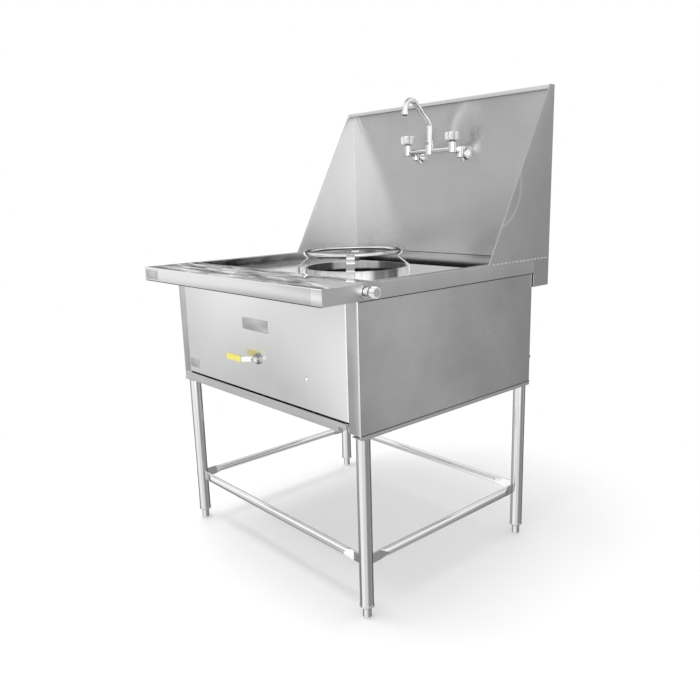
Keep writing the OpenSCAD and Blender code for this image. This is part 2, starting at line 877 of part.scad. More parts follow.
// Ball and stem, turned by the lever; the ball's bore lies across the ports when shut
module valve_ball() {
    tip_y = root_y - lever_t / 2 - nut_t - 2;
    placed() color(chrome) difference() {
        union() {
            translate([valve_x, valve_y, valve_z]) rotate([90, 0, 0]) sphere(ball_r);
            rod_y([valve_x, tip_y, valve_z], stem_r, valve_y - tip_y);
        }
        rod_x([valve_x - ball_r - 1, valve_y, valve_z], pipe_bore - 1, 2 * ball_r + 2);
    }
}

// Line of the lever in plan, from the stem out and along to the grip
lever_line = [
    [lever_w / 2, 0],
    [-stem_r - 6, 0],
    [-lever_len + grip_len + 2, -lever_offset],
    [-lever_len, -lever_offset]
];

// Lever pressed from strip, drilled for the stem
module gas_lever() {
    placed() color(chrome) translate([valve_x, root_y, valve_z]) difference() {
        translate([0, 0, -lever_w / 2]) linear_extrude(lever_w) polygon(strip(lever_line, lever_t));
        rod_y([0, -lever_t, 0], stem_r + run_fit, 2 * lever_t);
    }
}

// Nut that holds the lever on its stem
module lever_nut() {
    placed() color(chrome) translate([valve_x, root_y - lever_t / 2, valve_z]) difference() {
        hex_y([0, -nut_t, 0], stem_r + 4.5, nut_t);
        rod_y([0, -nut_t - 1, 0], stem_r + run_fit, nut_t + 2);
    }
}

// Dipped sleeve on the lever, with rounded ends
module lever_grip() {
    high = lever_w / 2 + grip_t;
    deep = lever_t / 2 + grip_t;
    nose = high * 0.6;
    placed() color(yellow)
        translate([valve_x - lever_len - grip_t, root_y - lever_offset, valve_z]) difference() {
            rotate([90, 0, 0]) linear_extrude(2 * deep, center = true) hull() {
                for (z = [nose - high, high - nose]) translate([nose, z]) circle(nose, $fn = 32);
                translate([grip_len - 1, -high]) square([1, 2 * high]);
            }
            span(
                [grip_t - run_fit, grip_len + 1],
                [-lever_t / 2 - run_fit, lever_t / 2 + run_fit],
                [-lever_w / 2 - run_fit, lever_w / 2 + run_fit]
            );
        }
}

// Dome-head bolt through the front panel, with its nut behind
module panel_bolt() {
    dome = bolt_head_r * 0.7;
    placed() color(polished) translate([bolt_x, cab_front, bolt_z]) {
        intersection() {
            translate([0, bolt_head_r - dome, 0]) sphere(bolt_head_r);
            rod_y([0, -bolt_head_r, 0], bolt_head_r, bolt_head_r);
        }
        rod_y([0, 0, 0], bolt_r, 14);
        difference() {
            hex_y([0, sheet, 0], bolt_r + 3.5, 6);
            rod_y([0, 0, 0], bolt_r + run_fit, 10);
        }
    }
}

// Line of one strap leg, from the rod's outer side, bowed in under it, then out and down
strap_top = ring_r + rod_r + strap_t / 2 - 0.8;
strap_line = [
    [strap_top, ring_z + 2],
    [strap_top - 0.3, ring_z - rod_r * 0.7],
    [ring_r + rod_r * 0.6, ring_z - rod_r - 2.5],
    [ring_r - strap_bow * 0.2, ring_z - rod_r - 6],
    [ring_r - strap_bow * 0.5, ring_z - rod_r - 9],
    [ring_r - strap_bow * 0.2, ring_z - rod_r - 12],
    [strap_x - 2, floor_z + strap_foot + 3],
    [strap_x, floor_z + strap_foot - 1],
    [strap_x, floor_z + seat_gap]
];

// Loose ring that holds the pan, standing round the collar on four strap legs
module wok_ring() {
    placed() color(polished) translate([-ring_off, burner_y - ring_off, 0]) {
        translate([0, 0, ring_z]) rotate_extrude($fn = 128) translate([ring_r, 0]) circle(rod_r, $fn = 32);
        for (a = [45 : 90 : 315]) rotate(a) rotate([90, 0, 0])
            linear_extrude(strap_w, center = true) polygon(strip(strap_line, strap_t));
    }
}

// Drip tray: shallow box, rims that ride on the runners, and a front lip
module drip_tray() {
    lip = [-post_x - lip_over, post_x - lip_short];
    rear_y = tray_back - tray_rim;
    flange = [tray_top - sheet, tray_top];
    placed() color(brushed) {
        span([-tray_x, tray_x], [lip_y, rear_y], [tray_z, tray_z + sheet]);
        pair() span([tray_x - sheet, tray_x], [lip_y, rear_y], [tray_z + sheet, tray_top]);
        for (y = [lip_y, rear_y - sheet])
            span([sheet - tray_x, tray_x - sheet], [y, y + sheet], [tray_z + sheet, tray_top]);
        pair() span([tray_x, rim_x], [cab_front, tray_back], flange);
        pair() span([tray_x, rim_x - lip_short], [lip_y, cab_front], flange);
        span([-tray_x, tray_x], [rear_y, tray_back], flange);
        translate([0, lip_y, 0]) rotate([90, 0, 0]) linear_extrude(lip_t) union() {
            translate([lip[0], tray_z]) square([tray_x - lip[0], tray_h - lip_round]);
            translate([lip[0], tray_top - ear_h]) square([lip[1] - lip[0], ear_h - lip_round]);
            translate([lip[0] + lip_round, tray_top - ear_h])
                square([lip[1] - lip[0] - 2 * lip_round, ear_h]);
            for (x = [lip[0] + lip_round, lip[1] - lip_round])
                translate([x, tray_top - lip_round]) circle(lip_round);
        }
    }
}

// Repeats a piece at the faucet's two wall inlets
module at_inlets() {
    for (x = [-inlet_w / 2, inlet_w / 2]) translate([faucet_x + x, 0, 0]) children();
}

// Domed flanges that cover the holes in the splash panel
module wall_flanges() {
    placed() color(chrome) at_inlets() translate([0, wall_y, inlet_z]) rotate([90, 0, 0]) difference() {
        union() {
            cylinder(r = flange_r, h = 2);
            translate([0, 0, 2]) cylinder(r1 = flange_r - 1, r2 = nipple_r + 2, h = flange_h - 2);
        }
        rod_z([0, 0, -1], nipple_r + hole_fit, flange_h + 2);
    }
}

// Offset unions from the wall inlets up to the faucet, with their nuts and tail nipples
module wall_unions() {
    rise_y = wall_y - flange_h - riser_r - 1;
    nut_y = faucet_y + housing_r + union_step;
    cap = 3;
    low = inlet_z - nipple_r - cap - 1;
    high = tap_z + union_r + cap + 1;
    placed() color(chrome) at_inlets() difference() {
        union() {
            rod_y([0, rise_y, inlet_z], nipple_r, top_d + nipple_out - tail_len - rise_y);
            rod_y([0, rise_y, inlet_z], nipple_r - tail_step, top_d + nipple_out - rise_y);
            rod_z([0, rise_y, low + cap], riser_r, high - low - 2 * cap);
            translate([0, rise_y, low]) cylinder(r1 = riser_r - cap, r2 = riser_r, h = cap);
            translate([0, rise_y, high - cap]) cylinder(r1 = riser_r, r2 = riser_r - cap, h = cap);
            rod_y([0, nut_y, tap_z], union_r, rise_y - nut_y);
            hex_y([0, nut_y, tap_z], union_nut_r, union_nut_h);
        }
        rod_y([0, rise_y + riser_r, inlet_z], union_r - 2, top_d + nipple_out - rise_y);
    }
}

// Faucet body: bar, two valve housings and the spout's boss
module faucet_body() {
    placed() color(chrome) translate([0, faucet_y, tap_z]) difference() {
        union() {
            rod_x([faucet_x - inlet_w / 2, 0, 0], tap_bar_r, inlet_w);
            rod_z([faucet_x, 0, -boss_tap_down], boss_tap_r, boss_tap_down + boss_tap_up);
            at_inlets() {
                rod_z([0, 0, -housing_down + 4], housing_r, housing_down + housing_up - 8);
                translate([0, 0, -housing_down]) cylinder(r1 = housing_r - 4, r2 = housing_r, h = 4);
                translate([0, 0, housing_up - 4]) cylinder(r1 = housing_r, r2 = housing_r - 2, h = 4);
                rod_y([0, 0, 0], union_r + 1, housing_r + union_step);
            }
        }
        at_inlets() rod_z([0, 0, housing_up - knob_bite], knob_stem_r + run_fit, knob_bite + 1);
        rod_z([faucet_x, 0, spout_seat - bend_lap - hole_fit], spout_r + run_fit, boss_tap_up);
    }
}

// Hexagon nut that holds the spout in its boss
module spout_nut() {
    placed() color(chrome) translate([faucet_x, faucet_y, tap_z + boss_tap_up]) difference() {
        union() {
            cylinder(r = boss_tap_r + 3, h = spout_nut_h - 3, $fn = 6);
            rod_z([0, 0, spout_nut_h - 3], boss_tap_r, 3);
        }
        rod_z([0, 0, -1], spout_r + run_fit, spout_nut_h + 2);
    }
}

// Stretches of a bent tube; the straight ones lap a little way along the bends
module straight(r, len, over) {
    translate([0, 0, -over]) cylinder(r = r, h = len + 2 * over);
    translate([0, 0, len]) children();
}

module bend(r, turn) {
    translate([spout_bend, 0, 0]) rotate([90, 0, 0]) rotate(180 - turn)
        rotate_extrude(angle = turn) translate([spout_bend, 0]) circle(r);
    translate([spout_bend * (1 - cos(turn)), 0, spout_bend * sin(turn)]) rotate([0, turn, 0]) children();
}

module spout_line(r, bend_r, over) {
    straight(r, spout_rise - spout_seat, over) bend(bend_r, spout_lean)
        straight(r, spout_len, bend_lap) bend(bend_r, spout_turn) straight(r, spout_end, over);
}

// Moves a piece to the spout's root, with its reach towards the front
module at_spout() {
    translate([faucet_x, faucet_y, tap_z + spout_seat]) rotate(-90) children();
}

// Swivel spout: upright, leaning forward, then over and down
module spout() {
    placed() color(chrome) at_spout() difference() {
        spout_line(spout_r, spout_r - bend_step, bend_lap);
        spout_line(spout_r - spout_t, spout_r - spout_t + bend_step, 2 * bend_lap);
    }
}

// Where the spout ends, in its own plane, and the way it points there
spout_turned = spout_lean + spout_turn;
spout_tip = [
    spout_bend * (1 - cos(spout_turned)) + spout_len * sin(spout_lean) + spout_end * sin(spout_turned),
    spout_rise - spout_seat + spout_bend * sin(spout_turned) + spout_len * cos(spout_lean)
        + spout_end * cos(spout_turned)
];

// Aerator screwed on the spout's end
module aerator() {
    grip = aerator_h * 0.6;
    placed() color(chrome) at_spout() translate([spout_tip[0], 0, spout_tip[1]])
        rotate([0, spout_turned, 0]) translate([0, 0, -grip]) difference() {
            union() {
                rod_z([0, 0, 0], aerator_r, aerator_h - 2);
                translate([0, 0, aerator_h - 2]) cylinder(r1 = aerator_r, r2 = aerator_r - 1.5, h = 2);
            }
            rod_z([0, 0, -1], spout_r + run_fit, grip + 1 + bend_lap + hole_fit);
            rod_z([0, 0, 0], spout_r - spout_t, aerator_h + 1);
        }
}

// Lobed knob on its stem, standing on Z, with both ends turned to a chamfer
module knob(r, h, stem, bite) {
    lobe = r * 0.36;
    core = r - lobe;
    cut = r * 0.14;
    intersection() {
        linear_extrude(h) union() {
            circle(core);
            for (i = [0 : knob_lobes - 1]) rotate(i * 360 / knob_lobes) translate([core, 0]) circle(lobe);
        }
        rotate_extrude() polygon([
            [0, 0], [r - cut, 0], [r + 1, cut + 1], [r + 1, h - cut - 1], [r - cut, h], [0, h]
        ]);
    }
    rod_z([0, 0, -bite], stem, bite + 1);
}

module faucet_knob(x) {
    placed() color(acrylic) translate([faucet_x + x, faucet_y, tap_z + housing_up + knob_gap])
        knob(knob_r, knob_h, knob_stem_r, knob_bite);
}

module hot_knob() faucet_knob(-inlet_w / 2);
module cold_knob() faucet_knob(inlet_w / 2);

// Rinse valve through the apron: body inside, seat ring and bonnet outside
module rinse_valve() {
    placed() color(chrome) translate([half_w, rinse_y, rinse_z]) difference() {
        union() {
            rod_x([-side_inset - rinse_body_in, 0, 0], rinse_body_r, side_inset + rinse_body_in);
            rod_x([0, 0, 0], bonnet_r + 5, rinse_seat_t);
            rod_x([rinse_seat_t, 0, 0], bonnet_r, bonnet_len - rinse_seat_t);
        }
        rod_x([bonnet_len - knob_bite, 0, 0], rinse_stem_r + run_fit, knob_bite + 1);
    }
}

// Rinse pipes: one up from the rear to the valve, one from the valve to the basin
module rinse_pipes() {
    body_x = cab_x - rinse_body_in;
    top = rinse_z - rinse_body_r;
    rear = cab_back + supply_out - rinse_y;
    placed() color(brushed) {
        rod_z([rinse_tee_x, rinse_y, rinse_low_z], rinse_pipe_r, top - rinse_low_z);
        translate([rinse_tee_x, rinse_y, rinse_low_z]) sphere(rinse_pipe_r);
        rod_y([rinse_tee_x, rinse_y, rinse_low_z], rinse_pipe_r, rear - tail_len);
        rod_y([rinse_tee_x, rinse_y, rinse_low_z], rinse_pipe_r - tail_step, rear);
        rod_x([outlet_x, rinse_y, rinse_z], rinse_pipe_r, body_x - outlet_x);
        translate([outlet_x, rinse_y, rinse_z]) sphere(rinse_pipe_r);
        rod_y([outlet_x, rinse_y, rinse_z], rinse_pipe_r, shelf_d + 6 - rinse_y);
    }
}

// Knob of the rinse valve, pointing out to the right
module rinse_knob() {
    placed() color(acrylic) translate([half_w + bonnet_len + knob_gap, rinse_y, rinse_z])
        rotate([0, 90, 0]) knob(rinse_knob_r, rinse_knob_len, rinse_stem_r, knob_bite);
}

front_shelf();
left_rim();
right_rim();
basin_floor();
gutter();
drain_tube();
back_panel();
left_wing();
right_wing();
front_panel();
left_side_panel();
right_side_panel();
rear_panel();
side_base_angles();
rear_base_angle();
tray_runners();
leg_front_left();
leg_front_right();
leg_rear_left();
leg_rear_right();
front_rail();
rear_rail();
left_rail();
right_rail();
foot_collars();
foot_front_left();
foot_front_right();
foot_rear_left();
foot_rear_right();
burner_collar();
heat_drum();
burner_bars();
burner_head();
burner_jets();
mixer_tube();
injector();
burner_pipe();
gas_supply_pipe();
valve_body();
valve_gland();
valve_ball();
gas_lever();
lever_nut();
lever_grip();
panel_bolt();
wok_ring();
drip_tray();
wall_flanges();
wall_unions();
faucet_body();
spout_nut();
spout();
aerator();
hot_knob();
cold_knob();
rinse_valve();
rinse_pipes();
rinse_knob();
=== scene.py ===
"""Looks of a free-standing wok range: sheet-steel skins, tubes, fittings, stage, light and camera.

Sizes are millimetres in the range's own frame: X to the right of the worktop's middle, Y back from
its front edge, Z up from the floor.  placed() turns them into the frame's metres.
"""

import math

import bmesh
import bpy
import numpy as np
from mathutils import Matrix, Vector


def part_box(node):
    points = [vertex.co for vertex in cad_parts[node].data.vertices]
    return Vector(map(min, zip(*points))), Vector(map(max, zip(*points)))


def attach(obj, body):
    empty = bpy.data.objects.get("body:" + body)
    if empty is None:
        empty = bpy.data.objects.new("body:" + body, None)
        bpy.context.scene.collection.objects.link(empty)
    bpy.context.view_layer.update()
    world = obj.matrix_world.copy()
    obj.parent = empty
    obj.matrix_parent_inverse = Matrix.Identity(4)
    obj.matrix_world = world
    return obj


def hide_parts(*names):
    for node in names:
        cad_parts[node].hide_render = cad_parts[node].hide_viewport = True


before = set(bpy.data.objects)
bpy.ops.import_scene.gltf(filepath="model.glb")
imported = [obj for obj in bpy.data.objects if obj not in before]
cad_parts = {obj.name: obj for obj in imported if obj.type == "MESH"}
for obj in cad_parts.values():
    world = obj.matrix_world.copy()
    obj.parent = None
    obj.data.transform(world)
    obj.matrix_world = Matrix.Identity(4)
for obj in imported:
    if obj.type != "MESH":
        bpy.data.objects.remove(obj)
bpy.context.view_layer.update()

bl_info = {
    "name": "Wok range looks",
    "version": (1, 0, 0),
    "blender": (4, 5, 0),
    "location": "View3D > Sidebar > Wok range",
    "description": "Dresses the packed wok range with skins, finishes, light and a camera",
    "category": "Object",
}

MM = 0.001
SIDES = {"left": -1, "right": 1}
ROWS = ("front", "rear")

# Sheet work: thickness, apron height, hem, fold of the posts, lip over the splash.
SHEET, APRON, HEM, FOLD, TOP_LIP = 1.5, 42.0, 12.0, 8.0, 12.0
HALF = SHEET / 2
# Radii along the middle of the sheet at each piece's bends, and the steps of one bend.
SHELF_BENDS, RIM_BEND, SPLASH_BEND, WING_BEND = (1.2, 2.0, 2.0), 0.8, 2.0, 0.9
FRONT_BEND, SIDE_BENDS, BEND_STEPS = 2.5, (1.5, 3.5, 2.0), 5
# End of the front apron, painted near white as a highlight.
CORNER = 40.0
# Strip at the splash panel's top that fits between the wings, and the gap inside a wing's folded edge.
SPLASH_TOP, WING_GAP = 20.0, 0.35
# How near faces lie to what gives them a finish: ledge, wing's edge, front, wall and post's corner.
NEAR_LEDGE, NEAR_EDGE, NEAR_FRONT, NEAR_WALL, NEAR_CORNER = 0.5, 0.8, 3.0, 4.0, 5.0
# Weld beads at a wing's foot: how many, half sizes, and the lengths left free at front and back.
WELDS, WELD_HALF, WELD_FREE = 15, (0.9, 6.0, 2.2), (24.0, 16.0)
# Joint lines: radius, how far they stand out of a side, their drop below the apron and their start
# behind a post's corner; then how far the hem's line lies behind the apron's face and below its foot.
LINE_R, LINE_OUT, LINE_DROP, LINE_START, HEM_LINE = 1.3, 0.3, 2.4, 4.0, (1.2, 0.2)
# Lengths that lines leave free at their ends, on the splash guard and along the shelf.
SPLASH_FREE, SHELF_FREE = 2.0, 1.0
# Welds in the splash corners: radius and distance from the wing.
CORNER_WELD_R, CORNER_WELD_IN = 1.6, 0.5
# Bare plates: name, face, middle (x, z) and size (width, height).
PLATES = (
    ("panel_plate", "panel", (1.0, 762.0), (134.0, 36.0)),
    ("panel_tag", "panel", (-368.0, 589.0), (62.0, 32.0)),
    ("apron_plate", "apron", (-402.0, 894.0), (80.0, 30.0)),
)
# A plate's edge: heights and insets of its rings, and the power that squares its outline.
PLATE_RISE, PLATE_INSET, PLATE_POWER = (0.0, 0.9, 1.2), (0.0, 0.0, 0.6), 0.12
# Rivets: radius, height of the foot and of the dome, and distance from a plate's edges.
RIVET_R, RIVET_FOOT, RIVET_DOME, RIVET_IN = 2.2, 1.0, 1.1, 5.0
# Rinse valve: seat's thickness and step over the bonnet, and the radius of a seal.
SEAT_T, SEAT_STEP, SEAL_R = 7.0, 5.0, 1.6
# Rails: radius, height and thickness of a crushed end, its length, and the length of its taper.
RAIL_R, RAIL_FLAT, RAIL_END, RAIL_TAPER = 12.7, (32.0, 4.0), 26.0, 34.0
# A crushed end's powers across and upwards, and the shares of the taper where rings stand.
RAIL_POWERS, TAPER_RINGS = (0.3, 0.6), np.linspace(0.06, 1, 14)
# Angles, in degrees, over which an edge stays sharp: on sheets, tubes, beads and all-round pieces.
SHEET_SHARP, TUBE_SHARP, BEAD_SHARP, NEVER_SHARP = 35, 50, 60, 180


def corner(node, high):
    """One corner of a node's box, as an array in metres."""
    return np.array(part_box(node)[1 if high else 0])


# The range's own frame, found from the worktop's two sides and its front apron.
MIDDLE = (corner("left_rim", False) + corner("right_rim", True)) / 2
MIDDLE[1:] = corner("front_shelf", False)[1], 0.0


def own_box(node):
    """A node's box in the range's own millimetres: (lowest, highest)."""
    return (corner(node, False) - MIDDLE) / MM, (corner(node, True) - MIDDLE) / MM


def sided_box(node):
    """A sided node's box, then how far its inner and outer faces lie from the range's middle."""
    low, high = own_box(node)
    return low, high, *sorted((abs(low[0]), abs(high[0])))


def placed(points):
    """Points of the range's own frame, in millimetres, as metres in the part's frame."""
    return np.asarray(points, float) * MM + MIDDLE


def heading(azimuth, elevation):
    """Unit vector at an azimuth from +X towards +Y and an elevation, in degrees."""
    a, e = math.radians(azimuth), math.radians(elevation)
    return (math.cos(a) * math.cos(e), math.sin(a) * math.cos(e), math.sin(e))


def grey(level):
    """Three equal values."""
    return (level,) * 3


def scaled(values, by):
    """Values of a tuple, each times a factor."""
    return tuple(by * v for v in values)


class Shader:
    """A node tree under construction: add() makes a node, feed() joins or sets one socket."""

    def __init__(self, owner):
        owner.use_nodes = True
        self.tree = owner.node_tree
        self.tree.nodes.clear()

    def feed(self, socket, value):
        """Joins a made value to a socket, or sets a plain one on it."""
        if isinstance(value, bpy.types.NodeSocket):
            self.tree.links.new(value, socket)
        else:
            socket.default_value = value

    def add(self, kind, inputs=None, **settings):
        node = self.tree.nodes.new("ShaderNode" + kind)
        for key, value in settings.items():
            setattr(node, key, value)
        for key, value in (inputs or {}).items():
            self.feed(node.inputs[key], value)
        return node

    def here(self):
        """Object coordinates."""
        return self.add("TexCoord").outputs["Object"]

    def part(self, vector, axis):
        """One coordinate of a vector."""
        return self.add("SeparateXYZ", {0: vector}).outputs[axis]

    def vector(self, how, *values):
        """Vector maths on one or two values."""
        node = self.add("VectorMath", dict(enumerate(values)), operation=how)
        return node.outputs["Value" if how in ("LENGTH", "DOT_PRODUCT") else "Vector"]

    def across(self, middle, keep):
        """Object coordinates from a middle, each times what is kept of it."""
        return self.vector("MULTIPLY", self.vector("ADD", self.here(), scaled(middle, -1)), keep)

    def maths(self, a, b, how="ADD"):
        """Two values added, or joined in another way."""
        return self.add("Math", {0: a, 1: b}, operation=how).outputs[0]

    def times(self, a, b):
        return self.maths(a, b, "MULTIPLY")

    def noise(self, scale, detail=3.0, rough=0.55, size=1.0, seed=(0, 0, 0)):
        """Noise on Object coordinates; scale stretches it along the axes and seed moves it."""
        moved = self.add("Mapping", {"Vector": self.here(), "Scale": scale, "Location": seed})
        inputs = {"Vector": moved.outputs[0], "Scale": size, "Detail": detail, "Roughness": rough}
        return self.add("TexNoise", inputs).outputs["Fac"]

    def spread(self, value, low, high, start=0.3, end=0.7, how="LINEAR"):
        """The value from start to end, mapped to low to high."""
        ends = {"From Min": start, "From Max": end, "To Min": low, "To Max": high}
        return self.add("MapRange", {"Value": value, **ends}, interpolation_type=how).outputs[0]

    def near(self, way, azimuth, elevation, inner, outer):
        """One within the inner angle of a heading, falling smoothly to nothing at the outer angle."""
        close = self.vector("DOT_PRODUCT", way, heading(azimuth, elevation))
        start, end = (math.cos(math.radians(a)) for a in (outer, inner))
        return self.spread(close, 0, 1, start, end, "SMOOTHSTEP")

    def tint(self, factor, dark, light):
        """A colour between two, by a factor; the first may be a made one."""
        under = dark if isinstance(dark, bpy.types.NodeSocket) else (*dark, 1)
        return self.add("Mix", {0: factor, 6: under, 7: (*light, 1)}, data_type="RGBA").outputs[2]

    def arc(self, middle, radius, width, ends):
        """One on a circle about a Y and Z in metres, nothing a width away, fading up between two Z."""
        far = self.vector("LENGTH", self.across((0.0, *middle), (0.0, 1.0, 1.0)))
        off = self.maths(self.maths(far, -radius), 0.0, "ABSOLUTE")
        fade = self.spread(self.part(self.here(), "Z"), 1, 0, *ends)
        return self.times(self.spread(off, 1, 0, 0.0, width), fade)

    def coat(self, gloss, colour, rough, bump=None):
        """Gives a Principled shader its colour and roughness, and a bump of height, strength and depth."""
        self.feed(gloss.inputs["Base Color"], colour)
        self.feed(gloss.inputs["Roughness"], rough)
        if bump:
            inputs = dict(zip(("Height", "Strength", "Distance"), bump))
            self.feed(gloss.inputs["Normal"], self.add("Bump", inputs).outputs[0])


def surface(name, sockets):
    """A material with one Principled shader, whose plain values are set on its own sockets."""
    made = bpy.data.materials.new(name)
    s = Shader(made)
    gloss = s.add("BsdfPrincipled", sockets)
    s.add("OutputMaterial", {0: gloss.outputs[0]})
    return made, s, gloss


RUN_MAP = "run"
QUARTER_TURN = 0.25
GRAIN_X = (5.0, 900.0, 900.0)
GRAIN_Y = (900.0, 5.0, 900.0)
GRAIN_Z = (900.0, 900.0, 5.0)
TRAY_GRAIN = (3.0, 3.0, 170.0)
# Depth of the apron's dents and of the ledge's waves, in metres.
DENT, WAVE = 0.002, 0.0006
# Painted highlight on the right wing, a paler arc that stands for a curved reflection: its middle,
# radius, half width and the Z between which it fades, all in metres, and how much of it shows.
ARC_HIGHLIGHT = ((MIDDLE[1] + 0.650, 1.140), 0.122, 0.007, (1.15, 1.195))
ARC_HIGHLIGHT_SHARE = 0.7
# Stains: noise between which hard patches and soft blotches pass, how much finer blotches are, and
# the share of the marks that stays under painted shade.
HARD_EDGE, SOFT_EDGE, FINER, FADED = (0.485, 0.515), (0.46, 0.54), 1.7, 0.35
# Y, in metres, over which painted shade on the basin's left wall, darkest at the front, gives way.
WALL_SHADE_Y = tuple((corner("left_rim", False)[1] + y * MM) for y in (190, 860))
# Z, in metres, over which the gutter passes from painted shade below to clean, and the line's wander.
SHADE_LINE = tuple(corner("basin_floor", True)[2] + d for d in (0.010, 0.014))
SHADE_WANDER = 0.0015
# Depths, in metres, under an outer face between which the inside is told from the outside.
GUTTER_SKIN, COLLAR_SKIN = (0.0006, 0.0002), (0.0012, 0.0006)
# Brightness of the gutter's outside, and the lift, in metres, that keeps it above the shade's line.
OUTSIDE, OUTSIDE_LIFT = 0.66, 0.1
# Bands of painted reflection round the collar: azimuth, inner and outer half-angle in degrees, brightness.
COLLAR_PAINTED_REFLECTIONS = ((192, 18, 30, 0.22), (84, 22, 29, 0.28), (-9, 13, 20, 0.28), (-112, 20, 30, 0.55))
# Depth below the collar's rim, in metres, where painted shade turns its inside dark.
COLLAR_PAINTED_SHADE = (0.022, 0.027)


def steel(
    name, tone, rough, grain, cloud=0.05, streak=0.012, clouds=4.0, dents=0, brush=0.0, edge=1.0, arc_highlight=None
):
    """Steel sheet or tube: fine streaks along the grain, soft clouds and slow dents in the sheet.

    brush smears reflections across the grain, which follows U of the piece's own map; edge is the
    share of light that it still mirrors where it curves away; the last argument paints a highlight, a
    paler arc that stands for a curved reflection on the sheet.
    """
    sockets = {"Metallic": 1.0, "Anisotropic": brush, "Specular Tint": (*grey(edge), 1)}
    made, s, gloss = surface(name, sockets)
    if brush:
        gloss.inputs["Anisotropic Rotation"].default_value = QUARTER_TURN
        along = s.add("Tangent", direction_type="UV_MAP", uv_map=RUN_MAP)
        s.feed(gloss.inputs["Tangent"], along.outputs[0])
    lines = s.noise(grain, detail=2.0, rough=0.7)
    mist = s.noise(grey(clouds), detail=4.0, rough=0.6)
    level = s.maths(s.spread(mist, -cloud, cloud), s.spread(lines, -streak, streak))
    swing = cloud + streak
    light = tuple(min(1.0, c) for c in scaled(tone, 1 + swing))
    colour = s.tint(s.spread(level, 0, 1, -swing, swing), scaled(tone, 1 - swing), light)
    # Painted highlight: a paler arc in the base colour, standing for a curved reflection.
    if arc_highlight:
        colour = s.tint(s.times(s.arc(*arc_highlight), ARC_HIGHLIGHT_SHARE), colour, grey(1.0))
    bump = (s.noise(grey(1.0), detail=1.5, rough=0.4, size=dents), 1.0, DENT) if dents else None
    s.coat(gloss, colour, s.spread(mist, rough * 0.9, rough * 1.1), bump)
    return made


def stains_and_shade(name, dark, light, rough, patch, edge=1.0, fade=None):
    """Polished steel with heat and water marks: patches with hard edges over softer blotches.

    fade adds painted shade: the Y, in metres, where the sheet is darkest and where that shade ends.
    """
    made, s, gloss = surface(name, {"Metallic": 1.0, "Specular Tint": (*grey(edge), 1)})
    hard = s.spread(s.noise(patch, detail=2.0, rough=0.45), 0, 1, *HARD_EDGE)
    soft = s.spread(s.noise(scaled(patch, FINER), seed=(3, 1, 0)), 0, 1, *SOFT_EDGE)
    level = s.times(s.maths(hard, soft), 0.5)
    # Painted shade: darkest at the first Y of the fade, with the marks dimmed under it.
    if fade:
        bare = s.spread(s.part(s.here(), "Y"), 0.0, 1 - FADED, *fade)
        level = s.maths(s.times(level, FADED), bare)
    colour = s.tint(level, grey(dark), grey(light))
    slow = s.noise(grey(6.0), detail=2.0)
    s.coat(gloss, colour, s.spread(soft, rough * 0.8, rough * 1.2), (slow, 1.0, WAVE))
    return made


def cast_iron(tone):
    """Sooty cast iron: coarse sand grain and patches of scale."""
    made, s, gloss = surface("cast_iron", {"Metallic": 0.2})
    grain = s.noise(grey(260))
    colour = s.tint(s.spread(s.noise(grey(14)), 0, 1), tone, scaled(tone, 1.9))
    s.coat(gloss, colour, s.spread(grain, 0.6, 0.85), (grain, 0.5, 0.0008))
    return made


def acrylic(tone, node, axis):
    """Clear moulded acrylic: bright on the lobes, with painted shade darker down in the grooves towards the
    axis.
    """
    made, s, gloss = surface(f"{node}_acrylic", {"IOR": 1.49, "Transmission Weight": 0.2})
    low, high = corner(node, False), corner(node, True)
    keep = np.ones(3)
    keep[axis] = 0.0
    out = s.vector("LENGTH", s.across((low + high) / 2, tuple(keep)))
    reach = (high - low)[1] / 2
    drift = 0.05
    flow = s.spread(s.noise((60, 60, 160), detail=2.0), -drift, drift)
    level = s.maths(s.spread(out, 0, 1, 0.7 * reach, 0.95 * reach), flow)
    # Painted shade in the grooves: darker towards the axis.
    colour = s.tint(level, scaled(tone, 0.45), tone)
    s.coat(gloss, colour, s.spread(flow, 0.06, 0.14, -drift, drift))
    return made


def vinyl(tone):
    """Dipped vinyl: even colour, a soft sheen and a fine orange-peel skin."""
    made, s, gloss = surface("vinyl", {"IOR": 1.5})
    peel = s.noise(grey(420), detail=2.0)
    patch = s.noise(grey(40), detail=2.0)
    colour = s.tint(s.spread(patch, 0, 1), scaled(tone, 0.92), tone)
    s.coat(gloss, colour, s.spread(peel, 0.34, 0.48), (peel, 0.25, 0.0004))
    return made


def trough():
    """Gutter steel: clean above a wandering line, painted shade of the gutter's depth below it, and duller
    outside.
    """
    made, s, gloss = surface("trough_steel", {"Metallic": 1.0})
    x, y, z = s.add("SeparateXYZ", {0: s.here()}).outputs
    shade_height = s.maths(z, s.spread(s.noise((9.0, 9.0, 30.0)), -SHADE_WANDER, SHADE_WANDER))
    aside = s.maths(s.maths(x, -MIDDLE[0]), 0.0, "ABSOLUTE")
    end, back = (corner("gutter", True) - SHEET * MM)[:2]
    outside = s.maths(
        s.spread(aside, 0, 1, *(end - MIDDLE[0] - d for d in GUTTER_SKIN)),
        s.spread(y, 0, 1, *(back - d for d in GUTTER_SKIN)),
        "MAXIMUM",
    )
    shade_height = s.maths(shade_height, s.times(outside, OUTSIDE_LIFT))
    # Painted shade: below the line the steel turns near black.
    level = s.times(s.spread(shade_height, 0, 1, *SHADE_LINE), s.spread(outside, 1, OUTSIDE, 0, 1))
    s.coat(gloss, s.tint(level, grey(0.04), grey(0.98)), s.spread(shade_height, 0.4, 0.2, *SHADE_LINE))
    return made


